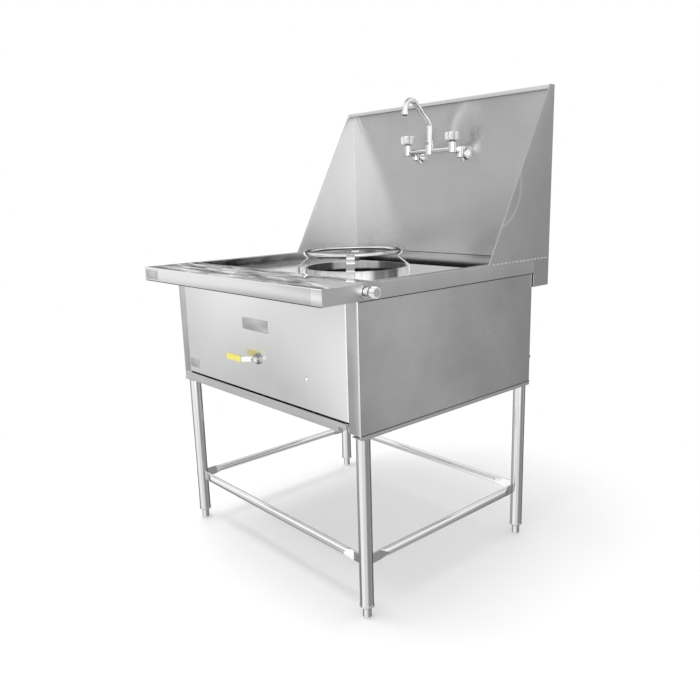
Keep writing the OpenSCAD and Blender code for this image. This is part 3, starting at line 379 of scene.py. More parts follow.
def collar_steel():
    """Spun collar: painted reflections in bands round the axis, bright outside, satin inside, and painted
    shade lower down inside.
    """
    made, s, gloss = surface("collar_steel", {"Metallic": 1.0})
    low, high = corner("burner_collar", False), corner("burner_collar", True)
    flat = s.across((low + high) / 2, (1.0, 1.0, 0.0))
    way = s.vector("NORMALIZE", flat)
    # Painted reflections: streaks and bands round the axis, darkening the base colour.
    marks = s.add("TexNoise", {"Vector": way, "Scale": 9.0, "Detail": 3.0}).outputs["Fac"]
    level = s.spread(marks, 0.75, 1.25)
    for azimuth, inner, outer, bright in COLLAR_PAINTED_REFLECTIONS:
        painted_band = s.near(way, azimuth, 0, inner, outer)
        level = s.times(level, s.spread(painted_band, 1, bright, 0, 1))
    far = s.vector("LENGTH", flat)
    skin = [(high - low)[0] / 2 - d for d in COLLAR_SKIN]
    # Painted shade: the inside turns near black deep in the pit.
    clean = s.spread(s.part(s.here(), "Z"), 1, 0.03, *(high[2] - d for d in COLLAR_PAINTED_SHADE))
    clean = s.maths(clean, s.spread(far, 0, 1, *skin), "MAXIMUM")
    colour = s.tint(s.times(level, clean), grey(0.0), grey(1.0))
    s.coat(gloss, colour, s.spread(far, 0.6, 0.16, *skin))
    return made


def joint_and_shade_line():
    """Dark sealant and grime in the joints between sheets, also used for painted shade and shadow lines."""
    made, s, gloss = surface("joint_and_shade_line", {"Metallic": 0.0})
    grime = s.noise(grey(60))
    s.coat(gloss, s.tint(s.spread(grime, 0, 1), grey(0.03), grey(0.10)), s.spread(grime, 0.55, 0.8))
    return made


class Finishes(bpy.types.PropertyGroup):
    """Colours of the range's finishes."""

    sheet: bpy.props.FloatVectorProperty(
        name="Sheet", description="Brushed sheet steel", subtype="COLOR", default=(0.78, 0.78, 0.78)
    )
    bright: bpy.props.FloatVectorProperty(
        name="Bright", description="Polished steel", subtype="COLOR", default=(0.82, 0.82, 0.82)
    )
    chrome: bpy.props.FloatVectorProperty(
        name="Chrome", description="Plated fittings", subtype="COLOR", default=(0.88, 0.88, 0.89)
    )
    iron: bpy.props.FloatVectorProperty(
        name="Iron", description="Cast burner", subtype="COLOR", default=(0.05, 0.05, 0.052)
    )
    brass: bpy.props.FloatVectorProperty(
        name="Brass", description="Jets and injector", subtype="COLOR", default=(0.60, 0.42, 0.16)
    )
    acrylic: bpy.props.FloatVectorProperty(
        name="Acrylic", description="Lobed knobs", subtype="COLOR", default=(0.95, 0.95, 0.95)
    )
    vinyl: bpy.props.FloatVectorProperty(
        name="Vinyl", description="Sleeve of the gas lever", subtype="COLOR", default=(0.98, 0.86, 0.20)
    )


class Stage(bpy.types.PropertyGroup):
    """Camera, floor and light."""

    lens: bpy.props.FloatProperty(name="Lens", description="Camera lens", unit="CAMERA", default=35.743)
    floor: bpy.props.FloatVectorProperty(
        name="Floor", description="Pale floor", subtype="COLOR", default=(0.93, 0.93, 0.93)
    )
    sky: bpy.props.FloatVectorProperty(
        name="Sky", description="Light from all round", subtype="COLOR", default=(1.0, 1.0, 1.0)
    )
    lamp: bpy.props.FloatProperty(
        name="Lamp", description="Power of the soft lamp overhead", unit="POWER", default=60.0
    )


def finishes():
    return bpy.context.scene.wok_finishes


def stage():
    return bpy.context.scene.wok_stage


MATERIALS = {}


def finish(name):
    """A finish by name, made once."""
    if name in MATERIALS:
        return MATERIALS[name]
    f = finishes()
    sheet, bright, chrome, clear = (tuple(c) for c in (f.sheet, f.bright, f.chrome, f.acrylic))
    post, wing, hem = (scaled(sheet, by) for by in (0.76, 0.92, 0.6))
    tube = scaled(bright, 1.02)
    makers = {
        "apron": lambda: steel("apron_sheet", bright, 0.17, GRAIN_X, cloud=0.02, dents=3.0, brush=0.4),
        # The apron's end: a near-white copy of the apron steel, a painted highlight.
        "corner": lambda: steel("apron_end_painted_highlight", grey(1.0), 0.16, GRAIN_X, cloud=0.01),
        "ledge": lambda: stains_and_shade("ledge_steel", 0.46, 0.70, 0.04, (6.0, 9.0, 6.0)),
        # Left basin wall: painted shade, dark at the front and fading towards the back, over stain patches.
        "wall": lambda: stains_and_shade("basin_wall_painted_shade", 0.06, 0.62, 0.16, (5.0, 5.0, 20.0), 0.6, WALL_SHADE_Y),
        "basin": lambda: steel("basin_steel", grey(0.98), 0.46, GRAIN_X),
        "trough": trough,
        "collar": collar_steel,
        "side": lambda: steel("side_sheet", sheet, 0.27, GRAIN_Y, cloud=0.15, clouds=2.6, brush=0.3),
        "post": lambda: steel("post_sheet", post, 0.24, GRAIN_Z, cloud=0.08, clouds=9.0),
        "front": lambda: steel("front_sheet", grey(0.98), 0.24, GRAIN_X, cloud=0.06, clouds=3.0),
        "splash": lambda: steel("splash_sheet", sheet, 0.28, GRAIN_X, cloud=0.03, streak=0, brush=0.55),
        "wing": lambda: steel("wing_sheet", wing, 0.3, GRAIN_Z, cloud=0.08, clouds=3.0, brush=0.5, arc_highlight=ARC_HIGHLIGHT),
        # Left wing's inner face: a lighter copy of the wing steel, painted light for its lit side.
        "inner_wing": lambda: steel("inner_wing_painted_light", bright, 0.42, GRAIN_Z, brush=0.5),
        "rim": lambda: steel("rim_sheet", wing, 0.4, GRAIN_Y, cloud=0.1, clouds=2.6, brush=0.3),
        # Front and rear rails: a lighter copy of the legs' tube steel, painted light for the lit rails.
        "rail": lambda: steel("polished_rail_painted_light", grey(0.97), 0.15, GRAIN_X, cloud=0.02, edge=0.3),
        "flange": lambda: steel("flange_sheet", bright, 0.4, GRAIN_X, cloud=0.02),
        "sheet": lambda: steel("plain_sheet", sheet, 0.26, GRAIN_X, cloud=0.06),
        "hem": lambda: steel("hem_sheet", hem, 0.3, GRAIN_Z),
        "tray": lambda: steel("tray_sheet", bright, 0.28, TRAY_GRAIN, cloud=0.03, streak=0.1),
        "plate": lambda: steel("bare_plate", (0.66, 0.66, 0.65), 0.32, GRAIN_X, streak=0.03),
        "weld": lambda: steel("weld_bead", (0.95, 0.94, 0.93), 0.45, GRAIN_Z, clouds=90.0),
        "tube": lambda: steel("polished_tube", tube, 0.15, GRAIN_Z, cloud=0.02, edge=0.3),
        "ring": lambda: steel("polished_rod", tube, 0.12, GRAIN_X, cloud=0.02, edge=0.12),
        "dull": lambda: steel("mill_steel", (0.40, 0.40, 0.41), 0.42, GRAIN_Y, cloud=0.10),
        "plated": lambda: steel("satin_plating", grey(0.97), 0.5, GRAIN_X, cloud=0.02, edge=0.3),
        "chrome": lambda: steel("chrome", chrome, 0.05, GRAIN_X, cloud=0.01, streak=0, edge=0.5),
        # The gland's plating: far darker than the chrome.
        "gland": lambda: steel("dark_plating", grey(0.42), 0.16, GRAIN_X, cloud=0.03, edge=0.3),
        # Also painted shade: under the splash guard's flange, in lines under the aprons and at the rinse
        # seals.
        "joint_and_shade": joint_and_shade_line,
        "iron": lambda: cast_iron(tuple(f.iron)),
        "brass": lambda: steel("brass", tuple(f.brass), 0.28, GRAIN_Z, cloud=0.08),
        "hot_acrylic": lambda: acrylic(clear, "hot_knob", 2),
        "cold_acrylic": lambda: acrylic(clear, "cold_knob", 2),
        "rinse_acrylic": lambda: acrylic(clear, "rinse_knob", 0),
        "vinyl": lambda: vinyl(tuple(f.vinyl)),
    }
    MATERIALS[name] = makers[name]()
    return MATERIALS[name]


# Finishes of the nodes that are carried over, by operator.
DRESSED = {
    "worktop": {"basin": ["basin_floor"], "trough": ["gutter"], "dull": ["drain_tube"]},
    "cabinet": {
        "sheet": ["rear_panel", "side_base_angles", "rear_base_angle"],
        "dull": ["tray_runners"],
        "tray": ["drip_tray"],
    },
    "stand": {
        "tube": [
            *(f"{part}_{row}_{side}" for part in ("leg", "foot") for row in ROWS for side in SIDES),
            "foot_collars",
        ]
    },
    "fire": {
        "collar": ["burner_collar"],
        "dull": ["heat_drum", "burner_bars"],
        "iron": ["burner_head", "mixer_tube"],
        "brass": ["burner_jets", "injector"],
        "ring": ["wok_ring"],
    },
    "gas": {
        "dull": ["burner_pipe", "gas_supply_pipe"],
        "chrome": ["valve_body", "valve_ball", "panel_bolt"],
        "gland": ["valve_gland"],
        "plated": ["gas_lever", "lever_nut"],
        "vinyl": ["lever_grip"],
    },
    "faucet": {
        "chrome": ["wall_flanges", "wall_unions", "faucet_body", "spout_nut", "spout", "aerator"],
        "hot_acrylic": ["hot_knob"],
        "cold_acrylic": ["cold_knob"],
    },
    "rinse": {"chrome": ["rinse_valve"], "dull": ["rinse_pipes"], "rinse_acrylic": ["rinse_knob"]},
}


def dress(group):
    """Gives a group's carried-over nodes their finishes."""
    for name, nodes in DRESSED[group].items():
        for node in nodes:
            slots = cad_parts[node].data.materials
            slots.clear()
            slots.append(finish(name))


def unit(v):
    """Vectors scaled to length one."""
    return v / np.linalg.norm(v, axis=-1, keepdims=True)


def turns(count):
    """Even angles round a full turn, in radians."""
    return np.linspace(0, 2 * np.pi, count, endpoint=False)


def grid(x, y, z):
    """Points from three coordinates spread over one grid."""
    return np.stack(np.broadcast_arrays(x, y, z), -1)


def rounded(corners, radius):
    """A polyline with its inner corners turned into arcs.

    Each arc point is the arc's centre plus the radius along a direction that swings evenly from one
    tangent foot to the other.
    """
    p = np.asarray(corners, float)
    r = np.broadcast_to(np.asarray(radius, float), (len(p) - 2,))[:, None]
    into, out = unit(p[1:-1] - p[:-2]), unit(p[2:] - p[1:-1])
    half = np.arccos(np.clip((into * out).sum(-1, keepdims=True), -1, 1)) / 2
    middle = p[1:-1] + unit(out - into) * r / np.cos(half)
    first = unit(p[1:-1] - into * r * np.tan(half) - middle)
    last = unit(p[1:-1] + out * r * np.tan(half) - middle)
    t = np.linspace(0, 1, BEND_STEPS + 1)[None, :, None]
    swing = 2 * half[:, None]
    arc = (np.sin((1 - t) * swing) * first[:, None] + np.sin(t * swing) * last[:, None]) / np.sin(swing)
    return np.concatenate([p[:1], (middle[:, None] + r[:, None] * arc).reshape(-1, 2), p[-1:]])


def band(line):
    """Closed outline of a bent sheet: its line moved half the thickness to one side, then back along
    the other, with the move lengthened at bends so that the thickness holds."""
    step = unit(np.diff(line, axis=0))
    side = np.stack([-step[:, 1], step[:, 0]], -1)
    normal = unit(np.concatenate([side[:1], side[:-1] + side[1:], side[-1:]]))
    normal[1:-1] /= (normal[1:-1] * side[1:]).sum(-1, keepdims=True)
    move = normal * HALF
    return np.concatenate([line + move, (line - move)[::-1]])


def quads(rows, columns, around=False, start=0):
    """Index quads of a grid of rows by columns; around joins the last column to the first."""
    i, j = np.meshgrid(np.arange(rows - 1), np.arange(columns - (not around)), indexing="ij")
    k = (j + 1) % columns
    made = np.stack([i * columns + j, i * columns + k, (i + 1) * columns + k, (i + 1) * columns + j], -1)
    return made.reshape(-1, 4) + start


def ribbon_faces(rows, columns):
    """Faces of a band drawn through rows of outlines: its skin, and both ends closed by quads that
    join each point of one side to its partner on the other."""
    i = np.arange(columns // 2 - 1)
    end = np.stack([i, columns - 1 - i, columns - 2 - i, i + 1], -1)
    return np.concatenate([quads(rows, columns, True), end, end[:, ::-1] + (rows - 1) * columns])


def capped(rows, columns, copies=1, start=0):
    """Faces of closed tubes, each drawn through rows of rings: its skin and one face over each end."""
    faces = []
    for first in range(start, start + copies * rows * columns, rows * columns):
        ring = np.arange(first, first + columns)
        faces += [*quads(rows, columns, True, first), ring, ring[::-1] + (rows - 1) * columns]
    return faces


def mesh_piece(name, points, faces, sharp=SHEET_SHARP):
    """An object from points in metres and faces, smooth but for edges sharper than an angle."""
    mesh = bpy.data.meshes.new(name)
    mesh.from_pydata(np.asarray(points, float).reshape(-1, 3).tolist(), [], [list(f) for f in faces])
    mesh.validate()
    work = bmesh.new()
    work.from_mesh(mesh)
    bmesh.ops.recalc_face_normals(work, faces=work.faces)
    work.to_mesh(mesh)
    work.free()
    mesh.polygons.foreach_set("use_smooth", np.ones(len(mesh.polygons), bool))
    mesh.set_sharp_from_angle(angle=math.radians(sharp))
    made = bpy.data.objects.new(name, mesh)
    bpy.context.scene.collection.objects.link(made)
    return made


def fitted(made, looks, which=None, nodes=()):
    """Gives a piece its finishes and its body; which picks a finish by the middles of its faces, in
    the range's own millimetres, and the piece stands for the nodes."""
    mesh = made.data
    for look in looks:
        mesh.materials.append(finish(look))
    if which:
        middle = np.empty(3 * len(mesh.polygons))
        mesh.polygons.foreach_get("center", middle)
        x, y, z = ((middle.reshape(-1, 3) - MIDDLE) / MM).T
        mesh.polygons.foreach_set("material_index", np.asarray(which(x, y, z), np.int32))
    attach(made, "range")
    if nodes:
        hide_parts(*nodes)


def drawn(name, outlines, grain="run"):
    """A bent sheet drawn through rows of outlines in millimetres.

    Its map, in metres, has U along the grain, which runs along the draw or round the outline.
    """
    rows, columns = outlines.shape[:2]
    made = mesh_piece(name, placed(outlines), ribbon_faces(rows, columns))
    run = np.linalg.norm(np.diff(outlines, axis=0, prepend=outlines[:1]), axis=-1).cumsum(0)
    girth = np.linalg.norm(np.diff(outlines, axis=1, prepend=outlines[:, :1]), axis=-1).cumsum(1)
    pairs = np.stack((run, girth) if grain == "run" else (girth, run), -1).reshape(-1, 2) * MM
    mesh = made.data
    corners = np.empty(len(mesh.loops), np.int32)
    mesh.loops.foreach_get("vertex_index", corners)
    mesh.uv_layers.new(name=RUN_MAP).data.foreach_set("uv", pairs[corners].astype(np.float32).ravel())
    return made


def along(axis, outline, stations):
    """Outlines of the two other coordinates, set at stations along an axis."""
    parts = list(outline.T)
    parts.insert(axis, np.asarray(stations, float)[:, None])
    return grid(*parts)


def mirrored(points, side):
    """Points with X turned over for the left side."""
    return points * np.array([side, 1, 1])


# Camera: place in millimetres; yaw, pitch and roll in degrees; width of its sensor in millimetres;
# and the nearest and farthest that it sees, in metres.
CAMERA_AT, CAMERA_TURNS = (1678.0, -1005.0, 1130.0), (-48.5, -12.73, -1.62)
SENSOR, SEEN = 36.0, (0.05, 60.0)
# Floor, in metres: where it starts to fade and ends, its margin, and how far it lies below the feet.
FLOOR_CLEAR, FLOOR_END, FLOOR_MARGIN, FLOOR_DROP = 0.85, 1.5, 0.05, 0.0005
# Soft lamp: sizes and place, in metres.
LAMP_SIZE, LAMP_AT = (2.4, 2.0), (-0.6, -0.6, 3.6)
# Tent: radius in metres, highest elevation in degrees, and steps of elevation and azimuth.
TENT_R, TENT_TOP, TENT_STEPS = 60.0, 88, (25, 48)
# Shades of the tent: azimuth, elevation, inner and outer half-angle in degrees, brightness.
SHADES = (
    (0, 90, 16, 44, 0.45),
    (170, -18, 14, 34, 0.5),
    (-42, -28, 14, 32, 0.75),
    (54, -18, 14, 46, 0.35),
    (12, -24, 18, 38, 0.28),
    (96, -16, 16, 38, 0.14),
    (-147, -27, 9, 21, 0.18),
    (-146, -20, 4, 12, 0.5),
    (-166, -14, 6, 15, 0.6),
    (-129, 6, 8, 19, 0.38),
    (-38, 6, 12, 28, 1.7),
    (39, -13, 4, 9, 0.54),
    (60, 15, 4, 14, 0.3),
)
# Broken part of the tent: azimuth, elevation, inner and outer half-angle in degrees, and its grain
# along X, Y and Z.
BROKEN, BROKEN_GRAIN = (147, 5, 9, 14), (32.0, 32.0, 46.0)
# Steps of its brightness: what is added before and after, and the noise between which it passes.
BROKEN_STEPS = ((-0.75, -0.45, 0.42, 0.44), (0, 0.45, 0.57, 0.59))


class WOK_OT_stage(bpy.types.Operator):
    """Pale floor that fades out, white sky, tent, a soft lamp and the camera"""

    bl_idname = "wok.stage"
    bl_label = "Stage"

    def execute(self, context):
        context.scene.view_settings.view_transform = "Standard"
        self.floor()
        self.sky(context.scene)
        self.tent()
        self.lamp(context.scene)
        self.camera(context.scene)
        return {"FINISHED"}

    def floor(self):
        """Level grid of even steps along X and Y."""
        reach = FLOOR_END + FLOOR_MARGIN
        side = np.linspace(-reach, reach, 25)
        floor = mesh_piece("floor", grid(side[:, None], side, -FLOOR_DROP), quads(side.size, side.size))
        floor.visible_glossy = False
        sockets = {"Roughness": 0.9, "Base Color": (*stage().floor, 1), "Specular IOR Level": 0.0}
        made, s, gloss = surface("pale_floor", sockets)
        far = s.vector("LENGTH", s.here())
        fade = s.spread(far, 0, 1, FLOOR_CLEAR, FLOOR_END, "SMOOTHSTEP")
        clear = s.add("BsdfTransparent")
        mix = s.add("MixShader", {0: fade, 1: gloss.outputs[0], 2: clear.outputs[0]})
        out = next(n for n in s.tree.nodes if n.type == "OUTPUT_MATERIAL")
        s.feed(out.inputs[0], mix.outputs[0])
        floor.data.materials.append(made)

    def sky(self, scene):
        """White light from all round."""
        scene.world = bpy.data.worlds.new("surroundings")
        s = Shader(scene.world)
        back = s.add("Background", {"Color": (*stage().sky, 1), "Strength": 1.0})
        s.add("OutputWorld", {0: back.outputs[0]})

    def tent(self):
        """Studio tent that only mirrored light meets: a sphere over azimuth and elevation, white with
        shades by the angle from a few headings, and broken up low behind the range."""
        rows, columns = TENT_STEPS
        azimuth = turns(columns)
        elevation = np.radians(np.linspace(-TENT_TOP, TENT_TOP, rows))[:, None]
        flat = np.cos(elevation)
        points = TENT_R * grid(flat * np.cos(azimuth), flat * np.sin(azimuth), np.sin(elevation))
        tent = mesh_piece("tent", points, capped(rows, columns), NEVER_SHARP)
        tent.visible_camera = tent.visible_diffuse = tent.visible_shadow = False
        made = bpy.data.materials.new("tent_cloth")
        made.cycles.emission_sampling = "NONE"
        s = Shader(made)
        way = s.vector("NORMALIZE", s.here())
        level = 1.0
        for *cone, bright in SHADES:
            level = s.spread(s.near(way, *cone), level, bright, 0, 1)
        moved = s.add("Mapping", {"Vector": way, "Scale": BROKEN_GRAIN})
        inputs = {"Vector": moved.outputs[0], "Scale": 1.0, "Detail": 2.0}
        noise = s.add("TexNoise", inputs).outputs["Fac"]
        steps = s.maths(*(s.spread(noise, *step) for step in BROKEN_STEPS))
        level = s.maths(level, s.times(steps, s.near(way, *BROKEN)))
        glow = s.add("Emission", {"Strength": level})
        s.add("OutputMaterial", {0: glow.outputs[0]})
        tent.data.materials.append(made)

    def lamp(self, scene):
        data = bpy.data.lights.new("overhead", "AREA")
        data.shape = "RECTANGLE"
        data.size, data.size_y = LAMP_SIZE
        data.energy = stage().lamp
        lamp = bpy.data.objects.new("overhead", data)
        lamp.location = LAMP_AT
        lamp.visible_glossy = False
        scene.collection.objects.link(lamp)

    def camera(self, scene):
        """Looks along yaw and pitch, rolled about its own axis."""
        angles = np.radians(CAMERA_TURNS)
        (cy, cp, cr), (sy, sp, sr) = np.cos(angles), np.sin(angles)
        ahead = np.array([sy * cp, cy * cp, sp])
        right = np.array([cy, -sy, 0.0])
        up = np.cross(right, ahead)
        axes = np.eye(4)
        axes[:3, 0] = right * cr + up * sr
        axes[:3, 1] = up * cr - right * sr
        axes[:3, 2] = -ahead
        axes[:3, 3] = placed(CAMERA_AT)
        data = bpy.data.cameras.new("camera")
        data.sensor_width = SENSOR
        data.lens = stage().lens
        data.clip_start, data.clip_end = SEEN
        camera = bpy.data.objects.new("camera", data)
        camera.matrix_world = Matrix(axes.tolist())
        scene.collection.objects.link(camera)
        scene.camera = camera


class WOK_OT_worktop(bpy.types.Operator):
    """Front shelf, rims, basin floor and gutter"""

    bl_idname = "wok.worktop"
    bl_label = "Worktop"

    def execute(self, context):
        dress("worktop")
        self.shelf()
        for name, side in SIDES.items():
            self.rim(name, side)
        return {"FINISHED"}

    def shelf(self):
        """Hem, apron, ledge and basin wall: one bent line drawn across the range."""
        low, high = own_box("front_shelf")
        foot, top, back = high[2] - APRON + HALF, high[2] - HALF, high[1] - HALF
        line = [(HEM, foot), (HALF, foot), (HALF, top), (back, top), (back, low[2])]
        # Past this X the apron takes the painted highlight.
        highlight_start = high[0] - CORNER
        stations = np.append(np.linspace(low[0], highlight_start, 9), high[0])
        made = drawn("shelf_sheet", along(0, band(rounded(line, SHELF_BENDS)), stations))
        ledge, front, wall = high[2] - SHEET - NEAR_LEDGE, low[1] + NEAR_FRONT, high[1] - NEAR_WALL
        fitted(
            made,
            ("apron", "ledge", "basin", "corner"),
            lambda x, y, z: np.select([(z > ledge) & (y > front), y > wall, x > highlight_start], [1, 2, 3], 0),
            ("front_shelf",),
        )

    def rim(self, name, side):
        """Apron beside the shelf, then apron, rim and basin wall behind it: two bent lines drawn back."""
        low, high, inner, outer = sided_box(f"{name}_rim")
        edge, wall, top, foot = outer - HALF, inner + HALF, high[2] - HALF, high[2] - APRON
        shelf_end = own_box("front_shelf")[1][1]
        plain = np.linspace((edge, foot), (edge, high[2]), 3)
        bent = rounded([(edge, foot), (edge, top), (wall, top), (wall, low[2])], RIM_BEND)
        looks = ("rim", "wall" if side < 0 else "basin", "hem")
        for part, line, stations, nodes in (
            ("apron", plain, np.linspace(low[1], shelf_end, 5), ()),
            ("sheet", bent, np.linspace(shelf_end, high[1], 9), (f"{name}_rim",)),
        ):
            made = drawn(f"{name}_rim_{part}", mirrored(along(1, band(line), stations), side))
            fitted(
                made,
                looks,
                lambda x, y, z: np.select([abs(x) < inner + NEAR_WALL, z > top], [1, 2], 0),
                nodes,
            )


class WOK_OT_splash(bpy.types.Operator):
    """Splash panel and its wings"""

    bl_idname = "wok.splash"
    bl_label = "Splash guard"

    def execute(self, context):
        self.panel()
        for name, side in SIDES.items():
            self.wing(name, side)
        self.welds()
        return {"FINISHED"}

    def panel(self):
        """Panel, top flange and turned-down lip: one bent line drawn across, narrower at the top."""
        low, high = own_box("back_panel")
        back, front, top = high[1] - HALF, low[1] + HALF, high[2] - HALF
        line = [(back, low[2]), (back, top), (front, top), (front, high[2] - TOP_LIP)]
        outlines = along(0, band(rounded(line, SPLASH_BEND)), np.linspace(low[0], high[0], 13))
        outlines[..., 0] *= np.where(outlines[..., 2] > high[2] - SPLASH_TOP, 1 - SHEET / high[0], 1)
        flange, lip, wall = high[2] - SHEET, low[1] + SHEET, high[1] - 2 * SHEET
        fitted(
            drawn("splash_sheet", outlines),
            ("splash", "flange", "joint_and_shade"),
            # Faces under the top flange and inside its lip take the dark joint finish as painted shade.
            lambda x, y, z: np.select([y > wall, (z > flange) | (y < lip)], [0, 1], 2),
            ("back_panel",),
        )

    def wing(self, name, side):
        """A sheet whose front edge leans back in a straight line and is folded over inside: the fold's
        section is carried up the edge, and the sheet's back edge stays upright."""
        low, high, _, outer = sided_box(f"{name}_wing")
        outside, inside = outer - HALF, outer - 2 * SHEET - WING_GAP + HALF
        far = 1000.0
        line = [(inside, HEM), (inside, HALF), (outside, HALF), (outside, far)]
        x, ahead = band(rounded(line, WING_BEND)).T
        z = np.linspace(low[2], high[2], 25)[:, None]
        slope = (own_box("back_panel")[0][1] - low[1]) / (high[2] - low[2])
        y = np.where(ahead > far / 2, high[1], low[1] + slope * (z - low[2]) + ahead)
        fitted(
            drawn(f"{name}_wing_sheet", mirrored(grid(x, y, z), side)),
            ("wing" if side > 0 else "inner_wing", "hem"),
            lambda x, y, z: np.where(y - low[1] - slope * (z - low[2]) < NEAR_EDGE, 1, 0),
            (f"{name}_wing",),
        )

    def welds(self):
        """Rows of short weld beads along the feet of the wings: half ellipsoids, each a grid of two
        angles, set out at even steps."""
        low, high = own_box("right_wing")
        turn = turns(12)
        lift = np.linspace(0, np.pi / 2 - 0.08, 5)[:, None]
        flat = np.cos(lift)
        bead = grid(np.sin(lift), flat * np.cos(turn), flat * np.sin(turn)) * WELD_HALF
        ends = low[1] + WELD_FREE[0], high[1] - WELD_FREE[1]
        place = grid(high[0], np.linspace(*ends, WELDS), low[2])
        for name, side in SIDES.items():
            points = mirrored(place[:, None, None] + bead, side)
            faces = capped(lift.size, turn.size, WELDS)
            fitted(mesh_piece(f"{name}_wing_welds", placed(points), faces, BEAD_SHARP), ("weld",))


class WOK_OT_cabinet(bpy.types.Operator):
    """Panels, base angles, runners and drip tray"""

    bl_idname = "wok.cabinet"
    bl_label = "Cabinet"

    def execute(self, context):
        dress("cabinet")
        self.front_panel()
        for name, side in SIDES.items():
            self.side_panel(name, side)
        return {"FINISHED"}

    def front_panel(self):
        """Face with both side edges folded back: one bent line in plan, drawn upwards, and a strip
        folded back along the foot."""
        low, high = own_box("front_panel")
        left, right, front = low[0] + HALF, high[0] - HALF, low[1] + HALF
        line = [(left, high[1]), (left, front), (right, front), (right, high[1])]
        face = along(2, band(rounded(line, FRONT_BEND)), np.linspace(low[2], high[2], 9))
        fitted(drawn("front_sheet", face, "girth"), ("front",), nodes=("front_panel",))
        level = low[2] + HALF
        foot = np.linspace((low[1] + SHEET, level), (high[1], level), 3)
        clear = 2 * SHEET
        strip = along(0, band(foot), np.linspace(low[0] + clear, high[0] - clear, 5))
        fitted(drawn("front_foot_fold", strip), ("front",))

    def side_panel(self, name, side):
        """Fold, front post, side and rear flange: one bent line in plan, drawn upwards."""
        low, high, inner, outer = sided_box(f"{name}_side_panel")
        inside, outside, front, back = inner + HALF, outer - HALF, low[1] + HALF, high[1] - HALF
        line = [
            (inside, low[1] + FOLD),
            (inside, front),
            (outside, front),
            (outside, back),
            (outer - FOLD - SHEET, back),
        ]
        outlines = along(2, band(rounded(line, SIDE_BENDS)), np.linspace(low[2], high[2], 9))
        fitted(
            drawn(f"{name}_side_sheet", mirrored(outlines, side), "girth"),
            ("side", "post"),
            lambda x, y, z: np.where((y < low[1] + NEAR_FRONT) & (abs(x) < outer - NEAR_CORNER), 1, 0),
            (f"{name}_side_panel",),
        )


class WOK_OT_joints(bpy.types.Operator):
    """Dark lines in the joints of the sheets, partly painted shadow under the aprons, and weld beads in the
    splash corners
    """

    bl_idname = "wok.joints"
    bl_label = "Joints"

    def execute(self, context):
        side_low, side_high = own_box("right_side_panel")
        shelf = own_box("front_shelf")[1]
        splash_low, splash_high = own_box("back_panel")
        apron, wall = shelf[2] - APRON, splash_high[1] - SHEET
        foot = own_box("right_wing")[0][2] + SPLASH_FREE
        top = splash_high[2] - TOP_LIP - SPLASH_FREE
        joints, welds = [], []
        for side in SIDES.values():
            x, edge = side * (side_high[0] + LINE_OUT), side * (splash_high[0] - CORNER_WELD_IN)
            # The line just under each side apron is painted shadow as much as sealant.
            for z in (apron - LINE_DROP, side_low[2]):
                joints.append(((x, side_low[1] + LINE_START, z), (x, side_high[1], z)))
            welds.append(((edge, wall, foot), (edge, wall, top)))
        # The hem's line under the front apron is painted shadow as much as sealant.
        back, below = HEM_LINE
        for reach, y, z in (
            (splash_high[0] - SPLASH_FREE, wall, splash_low[2]),
            (shelf[0] - SHELF_FREE, back, apron - below),
        ):
            joints.append(((-reach, y, z), (reach, y, z)))
        fitted(self.beads("joint_and_shadow_lines", joints, LINE_R), ("joint_and_shade",))
        fitted(self.beads("corner_welds", welds, CORNER_WELD_R), ("weld",))
        return {"FINISHED"}

    def beads(self, name, runs, radius):
        """Straight round beads: each run's start plus its share of the way plus the radius times a
        turn of two directions square to it, all runs at once."""
        runs = np.asarray(runs, float)
        start, way = runs[:, 0], runs[:, 1] - runs[:, 0]
        ahead = unit(way)
        upright = abs(ahead[:, 2:]) > 0.9
        side = unit(np.cross(ahead, np.where(upright, (0.0, 1.0, 0.0), (0.0, 0.0, 1.0))))
        up = np.cross(side, ahead)
        share = np.linspace(0, 1, 9)[None, :, None, None]
        turn = turns(10)[None, None, :, None]
        ring = np.cos(turn) * side[:, None, None] + np.sin(turn) * up[:, None, None]
        points = start[:, None, None] + way[:, None, None] * share + radius * ring
        count, rows, columns = points.shape[:3]
        return mesh_piece(name, placed(points), capped(rows, columns, count), BEAD_SHARP)


class WOK_OT_plates(bpy.types.Operator):
    """Bare riveted plates on the front panel and the apron"""

    bl_idname = "wok.plates"
    bl_label = "Plates"

    def execute(self, context):
        front = own_box("front_panel")[0][1]
        for name, face, (x, z), size in PLATES:
            self.plate(name, (x, front if face == "panel" else 0.0, z), size)
        return {"FINISHED"}

    def plate(self, name, place, size):
        """A rounded oblong in steps of height, its edge eased, and a domed rivet in each corner: rings
        of a rounded oblong and of circles, carried from the sheet outwards."""
        wide, tall = size[0] / 2, size[1] / 2
        turn = turns(64)
        across, up = (np.sign(f) * np.abs(f) ** PLATE_POWER for f in (np.cos(turn), np.sin(turn)))
        rise, inset = np.array(PLATE_RISE)[:, None], np.array(PLATE_INSET)[:, None]
        face = grid((wide - inset) * across, -rise, (tall - inset) * up)
        lift = np.linspace(0, 1.4, 5)[:, None]
        circle = turns(16)
        flat = RIVET_R * np.cos(lift)
        dome = grid(flat * np.cos(circle), -RIVET_FOOT - RIVET_DOME * np.sin(lift), flat * np.sin(circle))
        ends = np.array([(x, 0, z) for x in (-1, 1) for z in (-1, 1)])
        domes = dome + (ends * (wide - RIVET_IN, 0, tall - RIVET_IN))[:, None, None]
        faces = capped(rise.size, turn.size)
        faces += capped(lift.size, circle.size, len(ends), face[..., 0].size)
        points = np.concatenate([face.reshape(-1, 3), domes.reshape(-1, 3)]) + place
        fitted(mesh_piece(name, placed(points), faces), ("plate",))


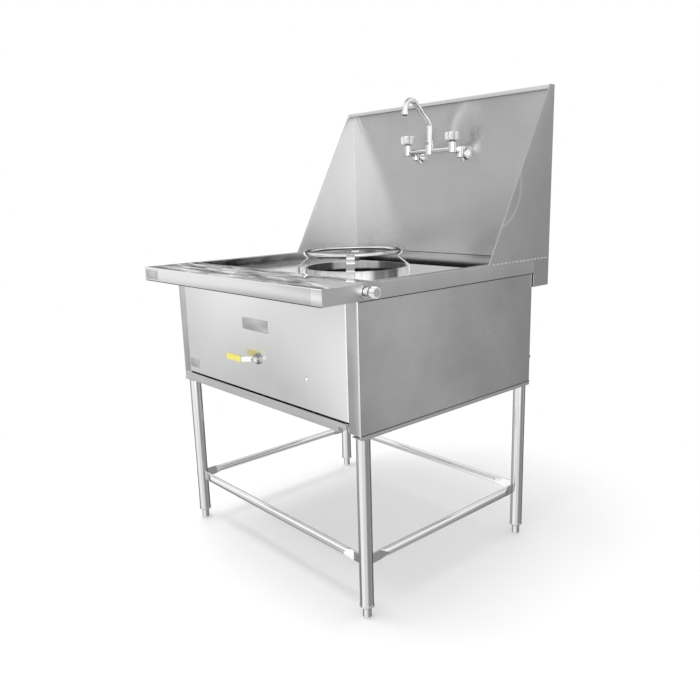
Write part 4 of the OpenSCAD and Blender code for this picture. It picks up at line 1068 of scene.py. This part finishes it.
class WOK_OT_stand(bpy.types.Operator):
    """Legs, rails, collars and feet"""

    bl_idname = "wok.stand"
    bl_label = "Stand"

    def execute(self, context):
        dress("stand")
        for axis, names in enumerate((ROWS, SIDES)):
            for name in names:
                self.rail(f"{name}_rail", axis)
        return {"FINISHED"}

    def rail(self, node, axis):
        """A tube crushed at both ends: the section's half width and half height, and the powers of a
        rounded oval, pass smoothly from the round tube's to the flat's."""
        low, high = own_box(node)
        middle, length = (low + high) / 2, (high - low)[axis]
        near = np.concatenate([[0, RAIL_END], RAIL_END + TAPER_RINGS * RAIL_TAPER])
        run = np.concatenate([near, length - near[::-1]])[:, None]
        share = np.clip((np.minimum(run, length - run) - RAIL_END) / RAIL_TAPER, 0, 1)
        share = share * share * (3 - 2 * share)
        turn = turns(32)
        tall, thick = (flat / 2 + (RAIL_R - flat / 2) * share for flat in RAIL_FLAT)
        flat_power, tall_power = (power + (1 - power) * share for power in RAIL_POWERS)
        points = np.empty((run.size, turn.size, 3))
        points[..., axis] = run - length / 2
        points[..., 1 - axis] = thick * np.sign(np.cos(turn)) * np.abs(np.cos(turn)) ** flat_power
        points[..., 2] = tall * np.sign(np.sin(turn)) * np.abs(np.sin(turn)) ** tall_power
        faces = capped(run.size, turn.size)
        made = mesh_piece(f"{node}_tube", placed(points + middle), faces, TUBE_SHARP)
        fitted(made, ("tube" if axis else "rail",), nodes=(node,))


class WOK_OT_fire(bpy.types.Operator):
    """Collar, drum, burner and the loose wok ring"""

    bl_idname = "wok.fire"
    bl_label = "Fire"

    def execute(self, context):
        dress("fire")
        return {"FINISHED"}


class WOK_OT_gas(bpy.types.Operator):
    """Pipes, valve, lever and sleeve"""

    bl_idname = "wok.gas"
    bl_label = "Gas line"

    def execute(self, context):
        dress("gas")
        return {"FINISHED"}


class WOK_OT_faucet(bpy.types.Operator):
    """Wall unions, body, spout and knobs"""

    bl_idname = "wok.faucet"
    bl_label = "Faucet"

    def execute(self, context):
        dress("faucet")
        return {"FINISHED"}


class WOK_OT_rinse(bpy.types.Operator):
    """Rinse valve on the right apron"""

    bl_idname = "wok.rinse"
    bl_label = "Rinse valve"

    def execute(self, context):
        dress("rinse")
        self.seals()
        return {"FINISHED"}

    def seals(self):
        """Dark ring seals at the seat and at the bonnet's end, also painted shadow in those steps: each a
        circle swept round the valve's axis."""
        low, high = own_box("rinse_valve")
        middle, bonnet = (low + high) / 2, (high - low)[2] / 2 - SEAT_STEP
        swing, turn = turns(40)[:, None], turns(12)
        out = bonnet + SEAL_R * np.cos(turn)
        ring = grid(SEAL_R * np.sin(turn), out * np.cos(swing), out * np.sin(swing))
        faces = quads(swing.size + 1, turn.size, True) % (swing.size * turn.size)
        edge = own_box("right_rim")[1][0]
        for name, x in (("seat", edge + SEAT_T), ("bonnet", high[0] - SEAL_R)):
            points = placed(ring + (x, middle[1], middle[2]))
            made = mesh_piece(f"{name}_seal", points, faces, NEVER_SHARP)
            fitted(made, ("joint_and_shade",))


OPERATORS = (
    WOK_OT_stage,
    WOK_OT_worktop,
    WOK_OT_splash,
    WOK_OT_cabinet,
    WOK_OT_joints,
    WOK_OT_plates,
    WOK_OT_stand,
    WOK_OT_fire,
    WOK_OT_gas,
    WOK_OT_faucet,
    WOK_OT_rinse,
)


class WOK_PT_panel(bpy.types.Panel):
    """Lists the range's pieces"""

    bl_idname = "WOK_PT_panel"
    bl_label = "Wok range"
    bl_space_type = "VIEW_3D"
    bl_region_type = "UI"
    bl_category = "Wok range"

    def draw(self, context):
        for group in (finishes(), stage()):
            for key in group.__annotations__:
                self.layout.prop(group, key)
        for operator in OPERATORS:
            self.layout.operator(operator.bl_idname)


CLASSES = (Finishes, Stage, *OPERATORS, WOK_PT_panel)


def register():
    for made in CLASSES:
        bpy.utils.register_class(made)
    bpy.types.Scene.wok_finishes = bpy.props.PointerProperty(type=Finishes)
    bpy.types.Scene.wok_stage = bpy.props.PointerProperty(type=Stage)


def unregister():
    del bpy.types.Scene.wok_stage
    del bpy.types.Scene.wok_finishes
    for made in reversed(CLASSES):
        bpy.utils.unregister_class(made)


def main():
    """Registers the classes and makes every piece."""
    register()
    for operator in OPERATORS:
        group, name = operator.bl_idname.split(".")
        getattr(getattr(bpy.ops, group), name)()


if __name__ == "__main__":
    main()
